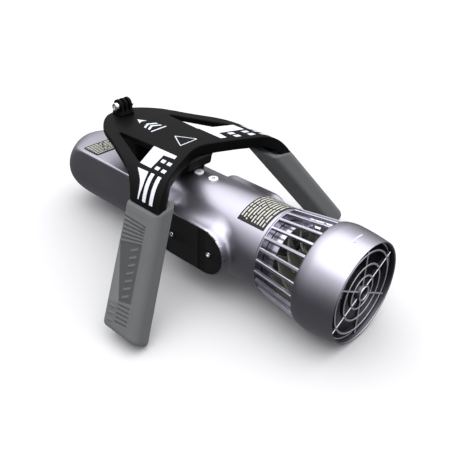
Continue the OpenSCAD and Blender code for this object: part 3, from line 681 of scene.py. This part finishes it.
def nozzle_r(t):
    """The nozzle's outer radius: t is 0 at its front edge and 1 at its mouth."""
    swell = 53.3 + 1.68 * math.sin(min(1, t / SWELL_END) * math.pi / 2)
    return swell - 3.4 * max(0, (t - SWELL_END) / (1 - SWELL_END)) ** 1.6


profile = [(SOCKET_R, -NOZZLE_L), (52.9, -NOZZLE_L), (53.25, -NOZZLE_L + 0.35)]
profile += [(nozzle_r(k / 28), -NOZZLE_L * (1 - k / 28)) for k in range(1, 28)]
profile += [(51.7, -0.7), (51.3, -0.1), (50.9, 0), (50.4, -0.2), (50, -0.8), (DUCT_R, -6),
            (DUCT_R, -37.5), (SOCKET_R, -37.5)]
shell = piece("nozzle_shell", turned(profile, 256), "nozzle_unit", ring_metal, "anodised", "nozzle",
              sharp=38)
# The inner wall's faces take the near-black copy as painted shade inside the duct
shell.data.materials.append(duct_painted_shade)
for face in shell.data.polygons:
    at = face.center
    if math.hypot(at.y, at.z - AXIS_Z) < (DUCT_R + 1.1) * MM and at.x < MOUTH_X - 0.5 * MM:
        face.material_index = 1


def strip(radius, x0, x1, a0, a1, thick=0.12, count=24):
    """A thin sheet wrapped round the thrust line, angles in degrees from +Y towards +Z."""
    radius_in = radius - 0.05
    return turned([(radius_in, x0), (radius + thick, x0), (radius + thick, x1), (radius_in, x1)],
                  count, math.radians(a0), math.radians(a1 - a0))


mark_r = nozzle_r(1 - 16.5 / NOZZLE_L)
marks = [strip(mark_r, -17.1, -15.9, 96, 82), strip(mark_r, -19.2, -13.8, 98.2, 97.2, count=4)]
piece("nozzle_mark", merge(*marks), "nozzle_unit", print_white, "label_foil")

guard = []
for r in GUARD_RINGS:
    guard.append(turned([(r - 0.9, -6.8), (r - 0.6, -7), (r + 0.6, -7), (r + 0.9, -6.8), (r + 0.9, -3.3),
                         (r + 0.6, -3), (r - 0.6, -3), (r - 0.9, -3.3)], 128))
guard.append(turned([(48.1, -11), (DUCT_R - 0.02, -11), (DUCT_R - 0.02, -6.05), (48.1, -6.3)], 160))
guard.append(turned([(0.001, -14), (7.6, -14), (8, -13.6), (8, -1.0), (7.7, -0.55), (7.0, -0.5), (6.5, -0.8),
                     (6.3, -1.3), (6.3, -8), (0.001, -8)], 96))
spoke_section = [(-6.7, -0.75), (-6.7, 0.75), (-3.6, 0.75), (-3.2, 0.4), (-3.2, -0.4), (-3.6, -0.75)]
spoke = loft([[(x, y, z) for x, y in spoke_section] for z in (7.2, 20, 34, 48.5)])
guard += [spun(spoke, 2 * math.pi * i / SPOKES) for i in range(SPOKES)]
casting = piece("guard_casting", merge(*guard), "nozzle_unit", guard_painted_highlight, "anodised", "outlet_guard")
casting.data.materials.append(guard_painted_shade)
# Painted light: the faces that look aft take the lighter copy as painted highlight, the rest the near-black
# copy as painted shade
for face in casting.data.polygons:
    if face.normal.x < 0.3:
        face.material_index = 1


# ---------------- impeller

BLADES = 13
BLADE_ROOT, BLADE_TIP = 11.0, 43.3
BLADE_X0, BLADE_X1 = -75.0, -53.0
BLADE_PITCH = math.radians(52)
BLADE_CAMBER = 0.16


def blade(first_angle):
    """A twisted blade with a rounded edge, run from the hub to its tip."""
    rings = []
    lead = math.tan(BLADE_PITCH) / BLADE_TIP
    for k in range(9):
        t = k / 8
        radius = lerp(BLADE_ROOT, BLADE_TIP, t)
        half_t = lerp(1.25, 0.75, t)
        line = []
        for j in range(9):
            u = j / 8
            x = lerp(BLADE_X0, BLADE_X1, u)
            camber = BLADE_CAMBER * math.sin(u * math.pi) * (1 - 0.4 * t)
            turn = first_angle + lead * (x - (BLADE_X0 + BLADE_X1) / 2) + camber
            thin = half_t * (0.35 + 0.65 * math.sin(math.pi * min(1, 0.12 + 0.88 * u)) ** 0.5) / radius
            line.append((x, turn, thin))
        ring = [polar(turn + thin, radius, x) for x, turn, thin in line]
        ring += [polar(turn - thin, radius, x) for x, turn, thin in reversed(line)]
        rings.append(ring)
    return loft(rings)


parts = [turned([(4.02, -76), (13, -76), (14.6, -75), (15, -73.5), (13.6, -62), (12.2, -53), (11.5, -52),
                 (4.02, -52)], 96)]
parts += [blade(2 * math.pi * i / BLADES) for i in range(BLADES)]
piece("impeller_moulding", merge(*parts), "rotor", impeller_plastic, "impeller_plastic", "impeller")


# ---------------- bracket

PLATE_Z = 73.0
PLATE_T = 12.0
WING_LIFT = 5.5
FLAT_S = 66.0
COLLAR_Z = 51.0
bend_points = [np.array(p, float) for p in ((FLAT_S, PLATE_Z), (80, PLATE_Z), (91, 64), (98, COLLAR_Z))]


def bend_at(t):
    """The arm's bend as a Bezier curve in (y, z)."""
    a, b, c, d = bend_points
    return (1 - t) ** 3 * a + 3 * (1 - t) ** 2 * t * b + 3 * (1 - t) * t * t * c + t ** 3 * d


bend_line = np.array([bend_at(t) for t in np.linspace(0, 1, 200)])
bend_s = FLAT_S + np.concatenate([[0], np.cumsum(np.linalg.norm(np.diff(bend_line, axis=0), axis=1))])
ARM_END = bend_s[-1]


def bent(s, x, height):
    """A point s out along the bracket's top face, height above it; the sign of s is the side."""
    side, s = (1 if s > 0 else -1), abs(s)
    if s <= FLAT_S:
        return (x, side * s, PLATE_Z + height)
    i = int(np.clip(np.searchsorted(bend_s, s) - 1, 0, len(bend_s) - 2))
    step = bend_line[i + 1] - bend_line[i]
    step = step / np.linalg.norm(step)
    at = bend_line[i] + step * (s - bend_s[i])
    return (x, side * (at[0] - step[1] * height), at[1] + step[0] * height)


def fold(part, spacing=2.2):
    """Cuts a flat part drawn as (s, x, height) into bands and folds it over the arms, as a bmesh."""
    bm = to_bmesh(part, weld=PLATE_WELD)
    stops = np.arange(FLAT_S, ARM_END + 8, spacing)
    for stop in np.concatenate([stops, -stops]):
        everything = bm.verts[:] + bm.edges[:] + bm.faces[:]
        bmesh.ops.bisect_plane(bm, geom=everything, plane_co=(stop, 0, 0), plane_no=(1, 0, 0), dist=1e-5)
    for v in bm.verts:
        v.co = Vector(bent(*v.co))
    return bm


# The plate's outline as (s, x), its right half from the front round to the rear
front_edge = [(0, -348), (8, -347.6), (14, -346), (19.5, -343), (29, -335), (40, -321.5), (48, -305.5),
              (55.3, -287), (64.4, -267.3), (71, -253.3), (77.4, -240.5), (83.2, -230.6), (88.5, -223.3),
              (96.8, -215.5), (106.5, -209.6), (115, -206.5)]
rear_edge = [(115, -166), (105, -169.8), (94.2, -173.6), (80.7, -178.5), (64.1, -187.1), (52.6, -193.3),
             (42.3, -199), (30, -205), (20, -209.5), (10, -213.5), (0, -215.5)]
right_half = spline(front_edge, 5) + spline(rear_edge, 5)
rim = right_half + [(-s, x) for s, x in reversed(right_half[1:-1])]


def rounded(corners, radius, steps=5):
    """A polygon with its corners rounded."""
    points = []
    for i, at in enumerate(corners):
        at = np.array(at, float)
        before = np.array(corners[i - 1], float) - at
        after = np.array(corners[(i + 1) % len(corners)], float) - at
        before, after = before / np.linalg.norm(before), after / np.linalg.norm(after)
        half = math.acos(np.clip(before @ after, -1, 1)) / 2
        reach = radius / math.tan(half)
        centre = at + (before + after) / np.linalg.norm(before + after) * radius / math.sin(half)
        first, last = at + before * reach - centre, at + after * reach - centre
        a0, a1 = math.atan2(first[1], first[0]), math.atan2(last[1], last[0])
        turn = (a1 - a0 + math.pi) % (2 * math.pi) - math.pi
        for k in range(steps + 1):
            a = a0 + turn * k / steps
            points.append(tuple(centre + radius * np.array([math.cos(a), math.sin(a)])))
    return points


def thin_wings(v):
    """Lifts the plate's underside where its wings are thin; the rear edge, spine and arms stay deep."""
    s, x, height = v
    wing = smoothstep(26, 32, abs(s)) * (1 - smoothstep(66, 80, abs(s))) * (1 - smoothstep(-240, -215, x))
    if height < -PLATE_T / 2:
        height += WING_LIFT * float(wing)
    return (s, x, height)


window = rounded([(35, -302), (32.5, -248.6), (66.3, -230.3)], 1.3)
other_window = [(-s, x) for s, x in window]
slab = moved(plate([rim, window, other_window], -PLATE_T, 0, 1.3, 3), thin_wings)
bm = fold(slab)
bmesh.ops.bisect_plane(bm, geom=bm.verts[:] + bm.edges[:] + bm.faces[:], plane_co=(0, 0, COLLAR_Z + 0.05),
                       plane_no=(0, 0, 1), clear_inner=True, dist=1e-5)
bmesh.ops.holes_fill(bm, edges=[e for e in bm.edges if e.is_boundary], sides=0)
bracket = from_bmesh(bm)

SPLAY = math.radians(35.75)
SWEEP = math.radians(18)
GRIP_AT = Vector((-190.5, -86.5, COLLAR_Z))
GRIP_TURN = Matrix.Rotation(-SPLAY, 3, "X") @ Matrix.Rotation(-SWEEP, 3, "Y")


def in_grip(part):
    """The left grip's own frame: Z up its length, X aft across it, -Y out of its outer face."""
    return moved(part, lambda v: tuple(GRIP_TURN @ Vector(v) + GRIP_AT))


# The arms end in flat tongues inside the grips, and two pockets hollow the plate's underside
tongue = in_grip(block((-5, -4.5, -104), (15, 4.5, 2)))
pockets = [block((-343, -12, 60), (-325, 12, 69)), block((-290, -24, 60), (-256, 24, 69))]
bracket = carve(bracket, pockets)
piece("bracket", merge(bracket, tongue, mirrored(tongue)), "hull", black_plastic, "black_plastic",
      "top_bracket", sharp=40)


# ---------------- print on the bracket

SKEW = 0.45


def ink(*outlines):
    """A thin sheet on the bracket's flat top face; outlines are (s, x), a rim and its holes."""
    return plate(outlines, -0.1, 0.12, 0.02, 0)


prints = [[(32.5, -247.3), (31.7, -213.7), (37.9, -210.6), (39.8, -224.5), (67.4, -212.3), (67.3, -228.4)]]
for s, x in ((46.3, -218.6), (46.3, -210.0), (60.6, -211.4), (60.6, -202.4)):
    prints.append([(s, x), (s, x + 5.4), (s + 5.8, x + 5.4 + 5.8 * SKEW), (s + 5.8, x + 5.8 * SKEW)])
left_side = spline([(74.1, -224), (84, -210.5), (92.4, -204.3), (102.1, -200.3)], 4)
right_side = spline([(102.1, -199), (90, -201.6), (80, -205.8), (73.4, -209.4)], 4)
prints.append(left_side + right_side)
for start in (-205.5, -195.8):
    inner = spline([(72.8, start), (88, start + 6), (102.2, start + 11.8)], 5)
    outer = spline([(102.2, start + 16.2), (88, start + 10.8), (72.8, start + 4.6)], 5)
    prints.append(inner + outer)
sheets = []
for outline in prints:
    for side in (1, -1):
        sheets.append(from_bmesh(fold(ink([(side * s, x) for s, x in outline]))))
marks = [ink([(0, -312), (5.2, -302), (0, -304.5), (-5.2, -302)])]
for x in (-292, -285.5):
    marks.append(ink([(0, x - 4), (9, x + 1.5), (9, x + 4.5), (0, x - 0.6), (-9, x + 4.5), (-9, x + 1.5)]))
marks.append(ink(rounded([(-11, -277.5), (11, -277.5), (11, -275.6), (-11, -275.6)], 0.9)))
triangle = [(0, -252), (13, -229), (-13, -229)]
inner_triangle = [(0, -249.6), (11.2, -230.2), (-11.2, -230.2)]
marks.append(ink(rounded(triangle, 1.2), rounded(inner_triangle, 0.8)))
sheets += [moved(mark, lambda v: bent(*v)) for mark in marks]
piece("bracket_print", merge(*sheets), "hull", print_white, "label_foil", sharp=30)


# ---------------- posts

POST_TOP = 60.96


def rounded_rect(half_x, half_y, radius, steps=6):
    """A rectangle's outline with round corners."""
    points = []
    for sx, sy, first in ((1, 1, 0), (-1, 1, 90), (-1, -1, 180), (1, -1, 270)):
        for k in range(steps + 1):
            a = math.radians(first + 90 * k / steps)
            points.append((sx * (half_x - radius) + radius * math.cos(a),
                           sy * (half_y - radius) + radius * math.sin(a)))
    return points


def post(x, levels):
    """A post as rounded rectangles (height, growth) up Z."""
    rings = []
    for z, grow in levels:
        rings.append([(x + a, b, z) for a, b in rounded_rect(14 + grow, 17 + grow, 4)])
    return loft(rings)


flare = [(53.5, 0), (57, 0.3), (59, 1.2), (60.3, 2.6), (POST_TOP + 0.01, 4.2)]
front = post(-308, [(32.03, -1.5), (33, -0.4), (34.5, 0)] + flare)
piece("front_stay", front, "hull", post_plastic, "post_metal", "front_post")

# The rear post: slices across it, each with its lower aft corner cut away for the two crown screws
TAIL_X = -211.3
rear = []
for y, inset in [(-17, 1.2), (-16.6, 0.5), (-15.8, 0), (15.8, 0), (16.6, 0.5), (17, 1.2)]:
    side = [(-252 + inset, 38), (-224, 38), (-221.8 - inset * 0.5, 45), (-213.9 - inset, 49.6),
            (-212.5 - inset, 51.5), (TAIL_X - inset * 0.8, 59.2), (TAIL_X + 0.5, POST_TOP), (-252, POST_TOP)]
    rear.append([(x, y, z) for x, z in side])
rear = loft(rear)
under = turned([(0.001, -300), (TUBE_R + 0.03, -300), (TUBE_R + 0.03, -200), (0.001, -200)], 360)
piece("rear_stay", carve(rear, [under]), "hull", post_plastic, "post_metal", "rear_post")


# ---------------- camera mount

PIVOT_X, PIVOT_Z = -336.0, 83.5
FINGER_R = 7.5
FINGER_T = 3.0


def pivot_arc(radius, angles):
    """Points round the clamp screw's axis in X and Z."""
    turns = [math.radians(a) for a in angles]
    return [(PIVOT_X + radius * math.cos(a), PIVOT_Z + radius * math.sin(a)) for a in turns]


def foot(half_x, half_y, radius, low, high):
    """A round-cornered block under the fingers."""
    corners = [(-half_x, -half_y), (half_x, -half_y), (half_x, half_y), (-half_x, half_y)]
    return plate([rounded([(PIVOT_X + x, y) for x, y in corners], radius)], low, high, 0.6, 2)


finger = pivot_arc(FINGER_R, range(0, 181, 9)) + [(PIVOT_X - FINGER_R, 74), (PIVOT_X + FINGER_R, 74)]
bore = pivot_arc(2.55, range(0, 360, 12))
parts = [stand(plate([finger, bore], y - FINGER_T / 2, y + FINGER_T / 2, 0.35, 2)) for y in (-6, 0, 6)]
parts += [foot(9, 9.4, 2.5, PLATE_Z + 0.03, 76.4), foot(8, 8, 1.5, 75.5, 78)]
piece("camera_fork", merge(*parts), "hull", black_plastic, "black_plastic", "camera_mount")
piece("clamp_screw", aim(cap_screw(2.5, 4.4, 4.6, 20.4), (PIVOT_X, -7.55, PIVOT_Z), (0, 1, 0)),
      "camera_clamp", steel, "steel", "camera_screw")


# ---------------- grips

# In the grip's own frame u runs aft across it, w up its length and v through it, outer face at -v
HALF_W = 20.5
HALF_T = 11.75
FRONT_U = -21.6
FOOT_W = -126.55
FOOT_R = 4.0
up_row = tuple(GRIP_TURN[2])


def grip_section():
    """The grip's section as (u, v, normal u, normal v), fine along the textured outer face."""
    points = []
    corners = [(FRONT_U + 2.5, -HALF_T + 2.5, 2.5, 180), (HALF_W - 9, -HALF_T + 9, 9, 270),
               (HALF_W - 5, HALF_T - 5, 5, 0), (-HALF_W + 7, HALF_T - 7, 7, 90)]
    for i, (cu, cv, r, first) in enumerate(corners):
        for k in range(11):
            a = math.radians(first + 9 * k)
            points.append((cu + r * math.cos(a), cv + r * math.sin(a), math.cos(a), math.sin(a)))
        nu, nv, nr, nfirst = corners[(i + 1) % 4]
        end = points[-1]
        start = (nu + nr * math.cos(math.radians(nfirst)), nv + nr * math.sin(math.radians(nfirst)))
        gaps = 44 if i == 0 else 4
        for k in range(1, gaps):
            t = k / gaps
            points.append((lerp(end[0], start[0], t), lerp(end[1], start[1], t), end[2], end[3]))
    return points


def soft_step(value, at, soft):
    """0 below at and 1 above it, changing over soft on either side."""
    return float(smoothstep(at - soft, at + soft, value))


def bar(value, low, high, soft=0.35):
    """1 inside low..high, with soft sides."""
    return soft_step(value, low, soft) * (1 - soft_step(value, high, soft))


def wedge_edge(w):
    """The slanted front edge of the darker panel at height w."""
    return lerp(-19.5, -7.5, (w + 41) / -55)


def grip_relief(u, w):
    """Depth of the moulded texture below the grip's outer face."""
    on_panel = 1 - float(smoothstep(7.6, 8.8, u))
    below_collar = 1 - float(smoothstep(-17.5, -15.5, w + 0.33 * u))
    depth = 0.3 * on_panel * below_collar
    # Six leaning grooves at the top
    for k in range(6):
        lean = -0.36 + 0.05 * k
        at = -20.8 - 3.5 * k + lean * (u + 6)
        depth += 0.7 * bar(w, at - 0.75, at + 0.75) * on_panel
    # The sunk panel with seven raised bars
    inside = bar(w + 0.06 * u, -97.0, -41.5, 0.5) * soft_step(u, wedge_edge(w), 0.5) * on_panel
    depth += 0.7 * inside
    for k in range(7):
        at = -47.5 - 7.3 * k + 0.25 * u
        depth -= 0.6 * bar(w, at - 1.2, at + 1.2) * bar(u, -4.5, 4.0) * inside
    # Five grooves at the foot, and three raised bars in front of them
    for k in range(5):
        at = -100.6 - 3.9 * k - 0.2 * u
        depth += 0.6 * bar(w, at - 0.75, at + 0.75) * bar(u, -7.0, 8.6) * on_panel
    for k in range(3):
        at = -101.5 - 6.4 * k - 0.2 * (u + 12)
        depth -= 0.75 * bar(w, at - 0.9, at + 0.9) * bar(u, -17.0, -9.6)
    return depth


def grip_tone(u, w):
    """Which rubber a spot on the outer face shows: 0 plain, 1 the darker panel and ribs, 2 the wedge."""
    depth = grip_relief(u, w)
    if u > 8.2 or w < -122:
        return 0
    if depth > 0.62:
        return 1
    return 2 if -97 < w < -44 and FRONT_U + 1.5 < u < wedge_edge(w) else 0


def grip():
    """The left grip in its own frame, from the bracket's collar down to its foot."""
    section = grip_section()
    stations = [0, 0.006, 0.012] + list(np.linspace(0.02, 0.965, 190))
    stations += [0.975, 0.983, 0.99, 0.995, 0.9985, 1]
    rings = []
    for t in stations:
        ring = []
        for u, v, nu, nv in section:
            top_w = -(up_row[0] * u + up_row[1] * v) / up_row[2]
            foot_w = FOOT_W - math.tan(SWEEP) * u
            w = lerp(top_w, foot_w, t)
            inset = max(0, 1.6 - (top_w - w)) * 0.8
            if w - foot_w < FOOT_R:
                inset = FOOT_R - math.sqrt(max(0, FOOT_R ** 2 - (FOOT_R - w + foot_w) ** 2))
            outer = max(0.0, -nv)
            cut = inset + (grip_relief(u, w) * outer if outer > 0.05 else 0)
            ring.append((u - nu * cut, v - nv * cut, w))
        rings.append(ring)
    return loft(rings)


grip_part = grip()
slot_cut = block((-5.1, -4.6, -104.1), (15.1, 4.6, 16))
trigger_cut = block((FRONT_U - 2, -6.9, -68), (-8.1, 6.9, -10))
grip_part = in_grip(carve(grip_part, [slot_cut, trigger_cut]))
for handle, part, side in (("left", grip_part, 1), ("right", mirrored(grip_part), -1)):
    rubber = piece(handle + "_handle", part, "hull", grip_rubber, "grip_rubber", handle + "_grip", sharp=30)
    rubber.data.materials.append(grip_panel)
    rubber.data.materials.append(grip_wedge)
    for face in rubber.data.polygons:
        at = face.center
        at = Vector(((at.x - MOUTH_X) / MM, side * at.y / MM, (at.z - AXIS_Z) / MM)) - GRIP_AT
        at = GRIP_TURN.transposed() @ at
        if at.y < -HALF_T + 2.2:
            face.material_index = grip_tone(at.x, at.z)

paddle = spline([(-15.2, -14.6), (-19.2, -15.2), (-23.6, -23.5), (-25.0, -31), (-24.2, -36), (-25.2, -42),
                 (-24.2, -50), (-23.8, -57), (-20.6, -63.4), (-17.6, -63.2), (-16.0, -50), (-14.6, -30)], 4)
paddle = plate([paddle], -6.4, 6.4, 1.3, 3)
paddle = in_grip(moved(paddle, lambda v: (v[0], v[2], v[1])))
for side, part in (("left", paddle), ("right", mirrored(paddle))):
    piece(side + "_paddle", part, side + "_trigger_lever", trigger_plastic, "trigger_plastic",
          side + "_trigger")


# ---------------- trigger springs

SPRING_FRONT, SPRING_BACK, SPRING_W = -14.9, -10.4, -52.0
COIL_R = 2.6
COILS = 4
STEPS = 80
WIRE_R = 0.4
coil_rings = []
for k in range(STEPS + 1):
    a = 2 * math.pi * COILS * k / STEPS
    c, s = math.cos(a), math.sin(a)
    centre_u = lerp(SPRING_FRONT, SPRING_BACK, k / STEPS)
    ring = []
    for b in np.radians(range(0, 360, 45)):
        reach = COIL_R + WIRE_R * math.cos(b)
        ring.append((centre_u + WIRE_R * math.sin(b), reach * c, SPRING_W + reach * s))
    coil_rings.append(ring)
coil = in_grip(loft(coil_rings))
coil_ends = in_grip(([(SPRING_FRONT, 0, SPRING_W), (SPRING_BACK + WIRE_R, 0, SPRING_W)], []))
for side, coil_part, ends in (("left", coil, coil_ends), ("right", mirrored(coil), mirrored(coil_ends))):
    front, back = (Vector(place(v)) for v in ends[0])
    spring = piece(side + "_spring_coil", coil_part, "hull", steel, "steel", side + "_trigger_spring")
    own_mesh(spring)


# ---------------- labels

def label_bars(rows, seed):
    """Plain bars of differing length in rows: (row, start, end), from -0.5 to 0.5 across the label."""
    bars = []
    value = seed
    for row in range(rows):
        at = -0.47
        while at < 0.44:
            value = (value * 73 + 41) % 101
            end = min(0.47, at + 0.06 + 0.0022 * value)
            bars.append((row, at, end))
            at = end + 0.022
    return bars


NOSE_TAG_X0, NOSE_TAG_X1 = -365.0, -338.5
NOSE_TAG_W = 78.0
TAG_FACE = DECK_Z + 0.3
corners = [(x, y * NOSE_TAG_W / 2) for x, y in ((NOSE_TAG_X0, -1), (NOSE_TAG_X1, -1), (NOSE_TAG_X1, 1),
                                                (NOSE_TAG_X0, 1))]
tag = plate([rounded(corners, 3)], DECK_Z - 0.1, TAG_FACE, 0.1, 1)
piece("nose_tag", tag, "hull", label_dark, "label_foil", "nose_label")
lines = []
for row, a, b in label_bars(7, 17):
    x = NOSE_TAG_X0 + 2.4 + 3.3 * row
    lines.append(block((x, a * NOSE_TAG_W, TAG_FACE - 0.02), (x + 1.35, b * NOSE_TAG_W, TAG_FACE + 0.06)))
piece("nose_tag_bars", merge(*lines), "hull", label_light, "label_foil")

TUBE_TAG_X0, TUBE_TAG_X1 = -133.5, -100.5
TUBE_TAG_SWEEP = 79.0
TAG_T = 0.3
first = 90 - TUBE_TAG_SWEEP / 2
tag = strip(TUBE_R + 0.02, TUBE_TAG_X0, TUBE_TAG_X1, first, first + TUBE_TAG_SWEEP, TAG_T, 64)
piece("tube_tag", tag, "hull", label_dark, "label_foil", "tube_label")
lines = []
for row, a, b in label_bars(9, 29):
    x = TUBE_TAG_X0 + 1.7 + 3.45 * row
    sweep = TUBE_TAG_SWEEP - 4
    lines.append(strip(TUBE_R + TAG_T, x, x + 1.5, 90 + a * sweep, 90 + b * sweep, 0.1, 8))
piece("tube_tag_bars", merge(*lines), "hull", label_light, "label_foil")


# ---------------- studio

FLOOR_HALF = 12.0
floor_mesh = bpy.data.meshes.new("floor")
floor_mesh.from_pydata([(-FLOOR_HALF, -FLOOR_HALF, 0), (FLOOR_HALF, -FLOOR_HALF, 0),
                        (FLOOR_HALF, FLOOR_HALF, 0), (-FLOOR_HALF, FLOOR_HALF, 0)], [], [(0, 1, 2, 3)])
floor = bpy.data.objects.new("floor", floor_mesh)
bpy.context.scene.collection.objects.link(floor)
floor_paper = surface("floor_paper", (0.37, 0.37, 0.375), rough=0.9, grain=300, bump=0.02, vary=0.01, wear=0)
floor_mesh.materials.append(floor_paper)
floor.visible_glossy = False

# A dome that is dim below and bright overhead; the camera itself sees plain white
BRIGHTEST = 4.4
BACKDROP = (0.98, 0.98, 0.985)
world = bpy.data.worlds.new("studio")
bpy.context.scene.world = world
world.use_nodes = True
nodes, link = world.node_tree.nodes, world.node_tree.links.new
background = nodes["Background"]
direction = add_node(nodes, "TexCoord")
split = add_node(nodes, "SeparateXYZ")
link(direction.outputs["Generated"], split.inputs["Vector"])
height = add_node(nodes, "MapRange", From_Min=-1)
link(split.outputs["Z"], height.inputs["Value"])
dome = add_node(nodes, "ValToRGB")
# (sine of the height above the horizon, light)
stops = [(-1.0, 0.19), (-0.7, 0.17), (-0.42, 0.14), (-0.17, 0.24), (0.0, 0.36), (0.25, 0.85), (0.57, 1.8),
         (0.78, 3.9), (1.0, BRIGHTEST)]
while len(dome.color_ramp.elements) < len(stops):
    dome.color_ramp.elements.new(0.5)
for element, (rise, light) in zip(dome.color_ramp.elements, stops):
    element.position = (rise + 1) / 2
    level = light / BRIGHTEST
    element.color = (level * 0.985, level * 0.985, level, 1)
link(height.outputs["Result"], dome.inputs["Fac"])
path = add_node(nodes, "LightPath")
seen = add_node(nodes, "Mix")
seen.data_type = "RGBA"
seen.inputs["B"].default_value = tuple(c / BRIGHTEST for c in BACKDROP) + (1,)
link(path.outputs["Is Camera Ray"], seen.inputs["Factor"])
link(dome.outputs["Color"], seen.inputs["A"])
link(seen.outputs["Result"], background.inputs["Color"])
background.inputs["Strength"].default_value = BRIGHTEST

LAMP_AT = (0.1, -0.5, 1.4)
lamp = bpy.data.lights.new("softbox", "AREA")
lamp.energy = 2.5
lamp.size = 1.2
lamp_holder = bpy.data.objects.new("softbox", lamp)
lamp_holder.location = LAMP_AT
lamp_holder.rotation_mode = "QUATERNION"
lamp_holder.rotation_quaternion = (-Vector(LAMP_AT)).to_track_quat("-Z", "Y")
bpy.context.scene.collection.objects.link(lamp_holder)

CAMERA_AT = (0.43187, -0.43556, 0.41879)
camera = bpy.data.cameras.new("camera")
camera.sensor_width = 36
camera.lens = 51.2
camera_holder = bpy.data.objects.new("camera", camera)
bpy.context.scene.collection.objects.link(camera_holder)
back = Vector((0.562, -0.629, 0.536)).normalized()
right = Vector((0.732, 0.681, 0.031))
right = (right - back * right.dot(back)).normalized()
up = back.cross(right)
turn = Matrix((right, up, back)).transposed().to_4x4()
camera_holder.matrix_world = Matrix.Translation(CAMERA_AT) @ turn
bpy.context.scene.camera = camera_holder
bpy.context.scene.view_settings.view_transform = "Standard"
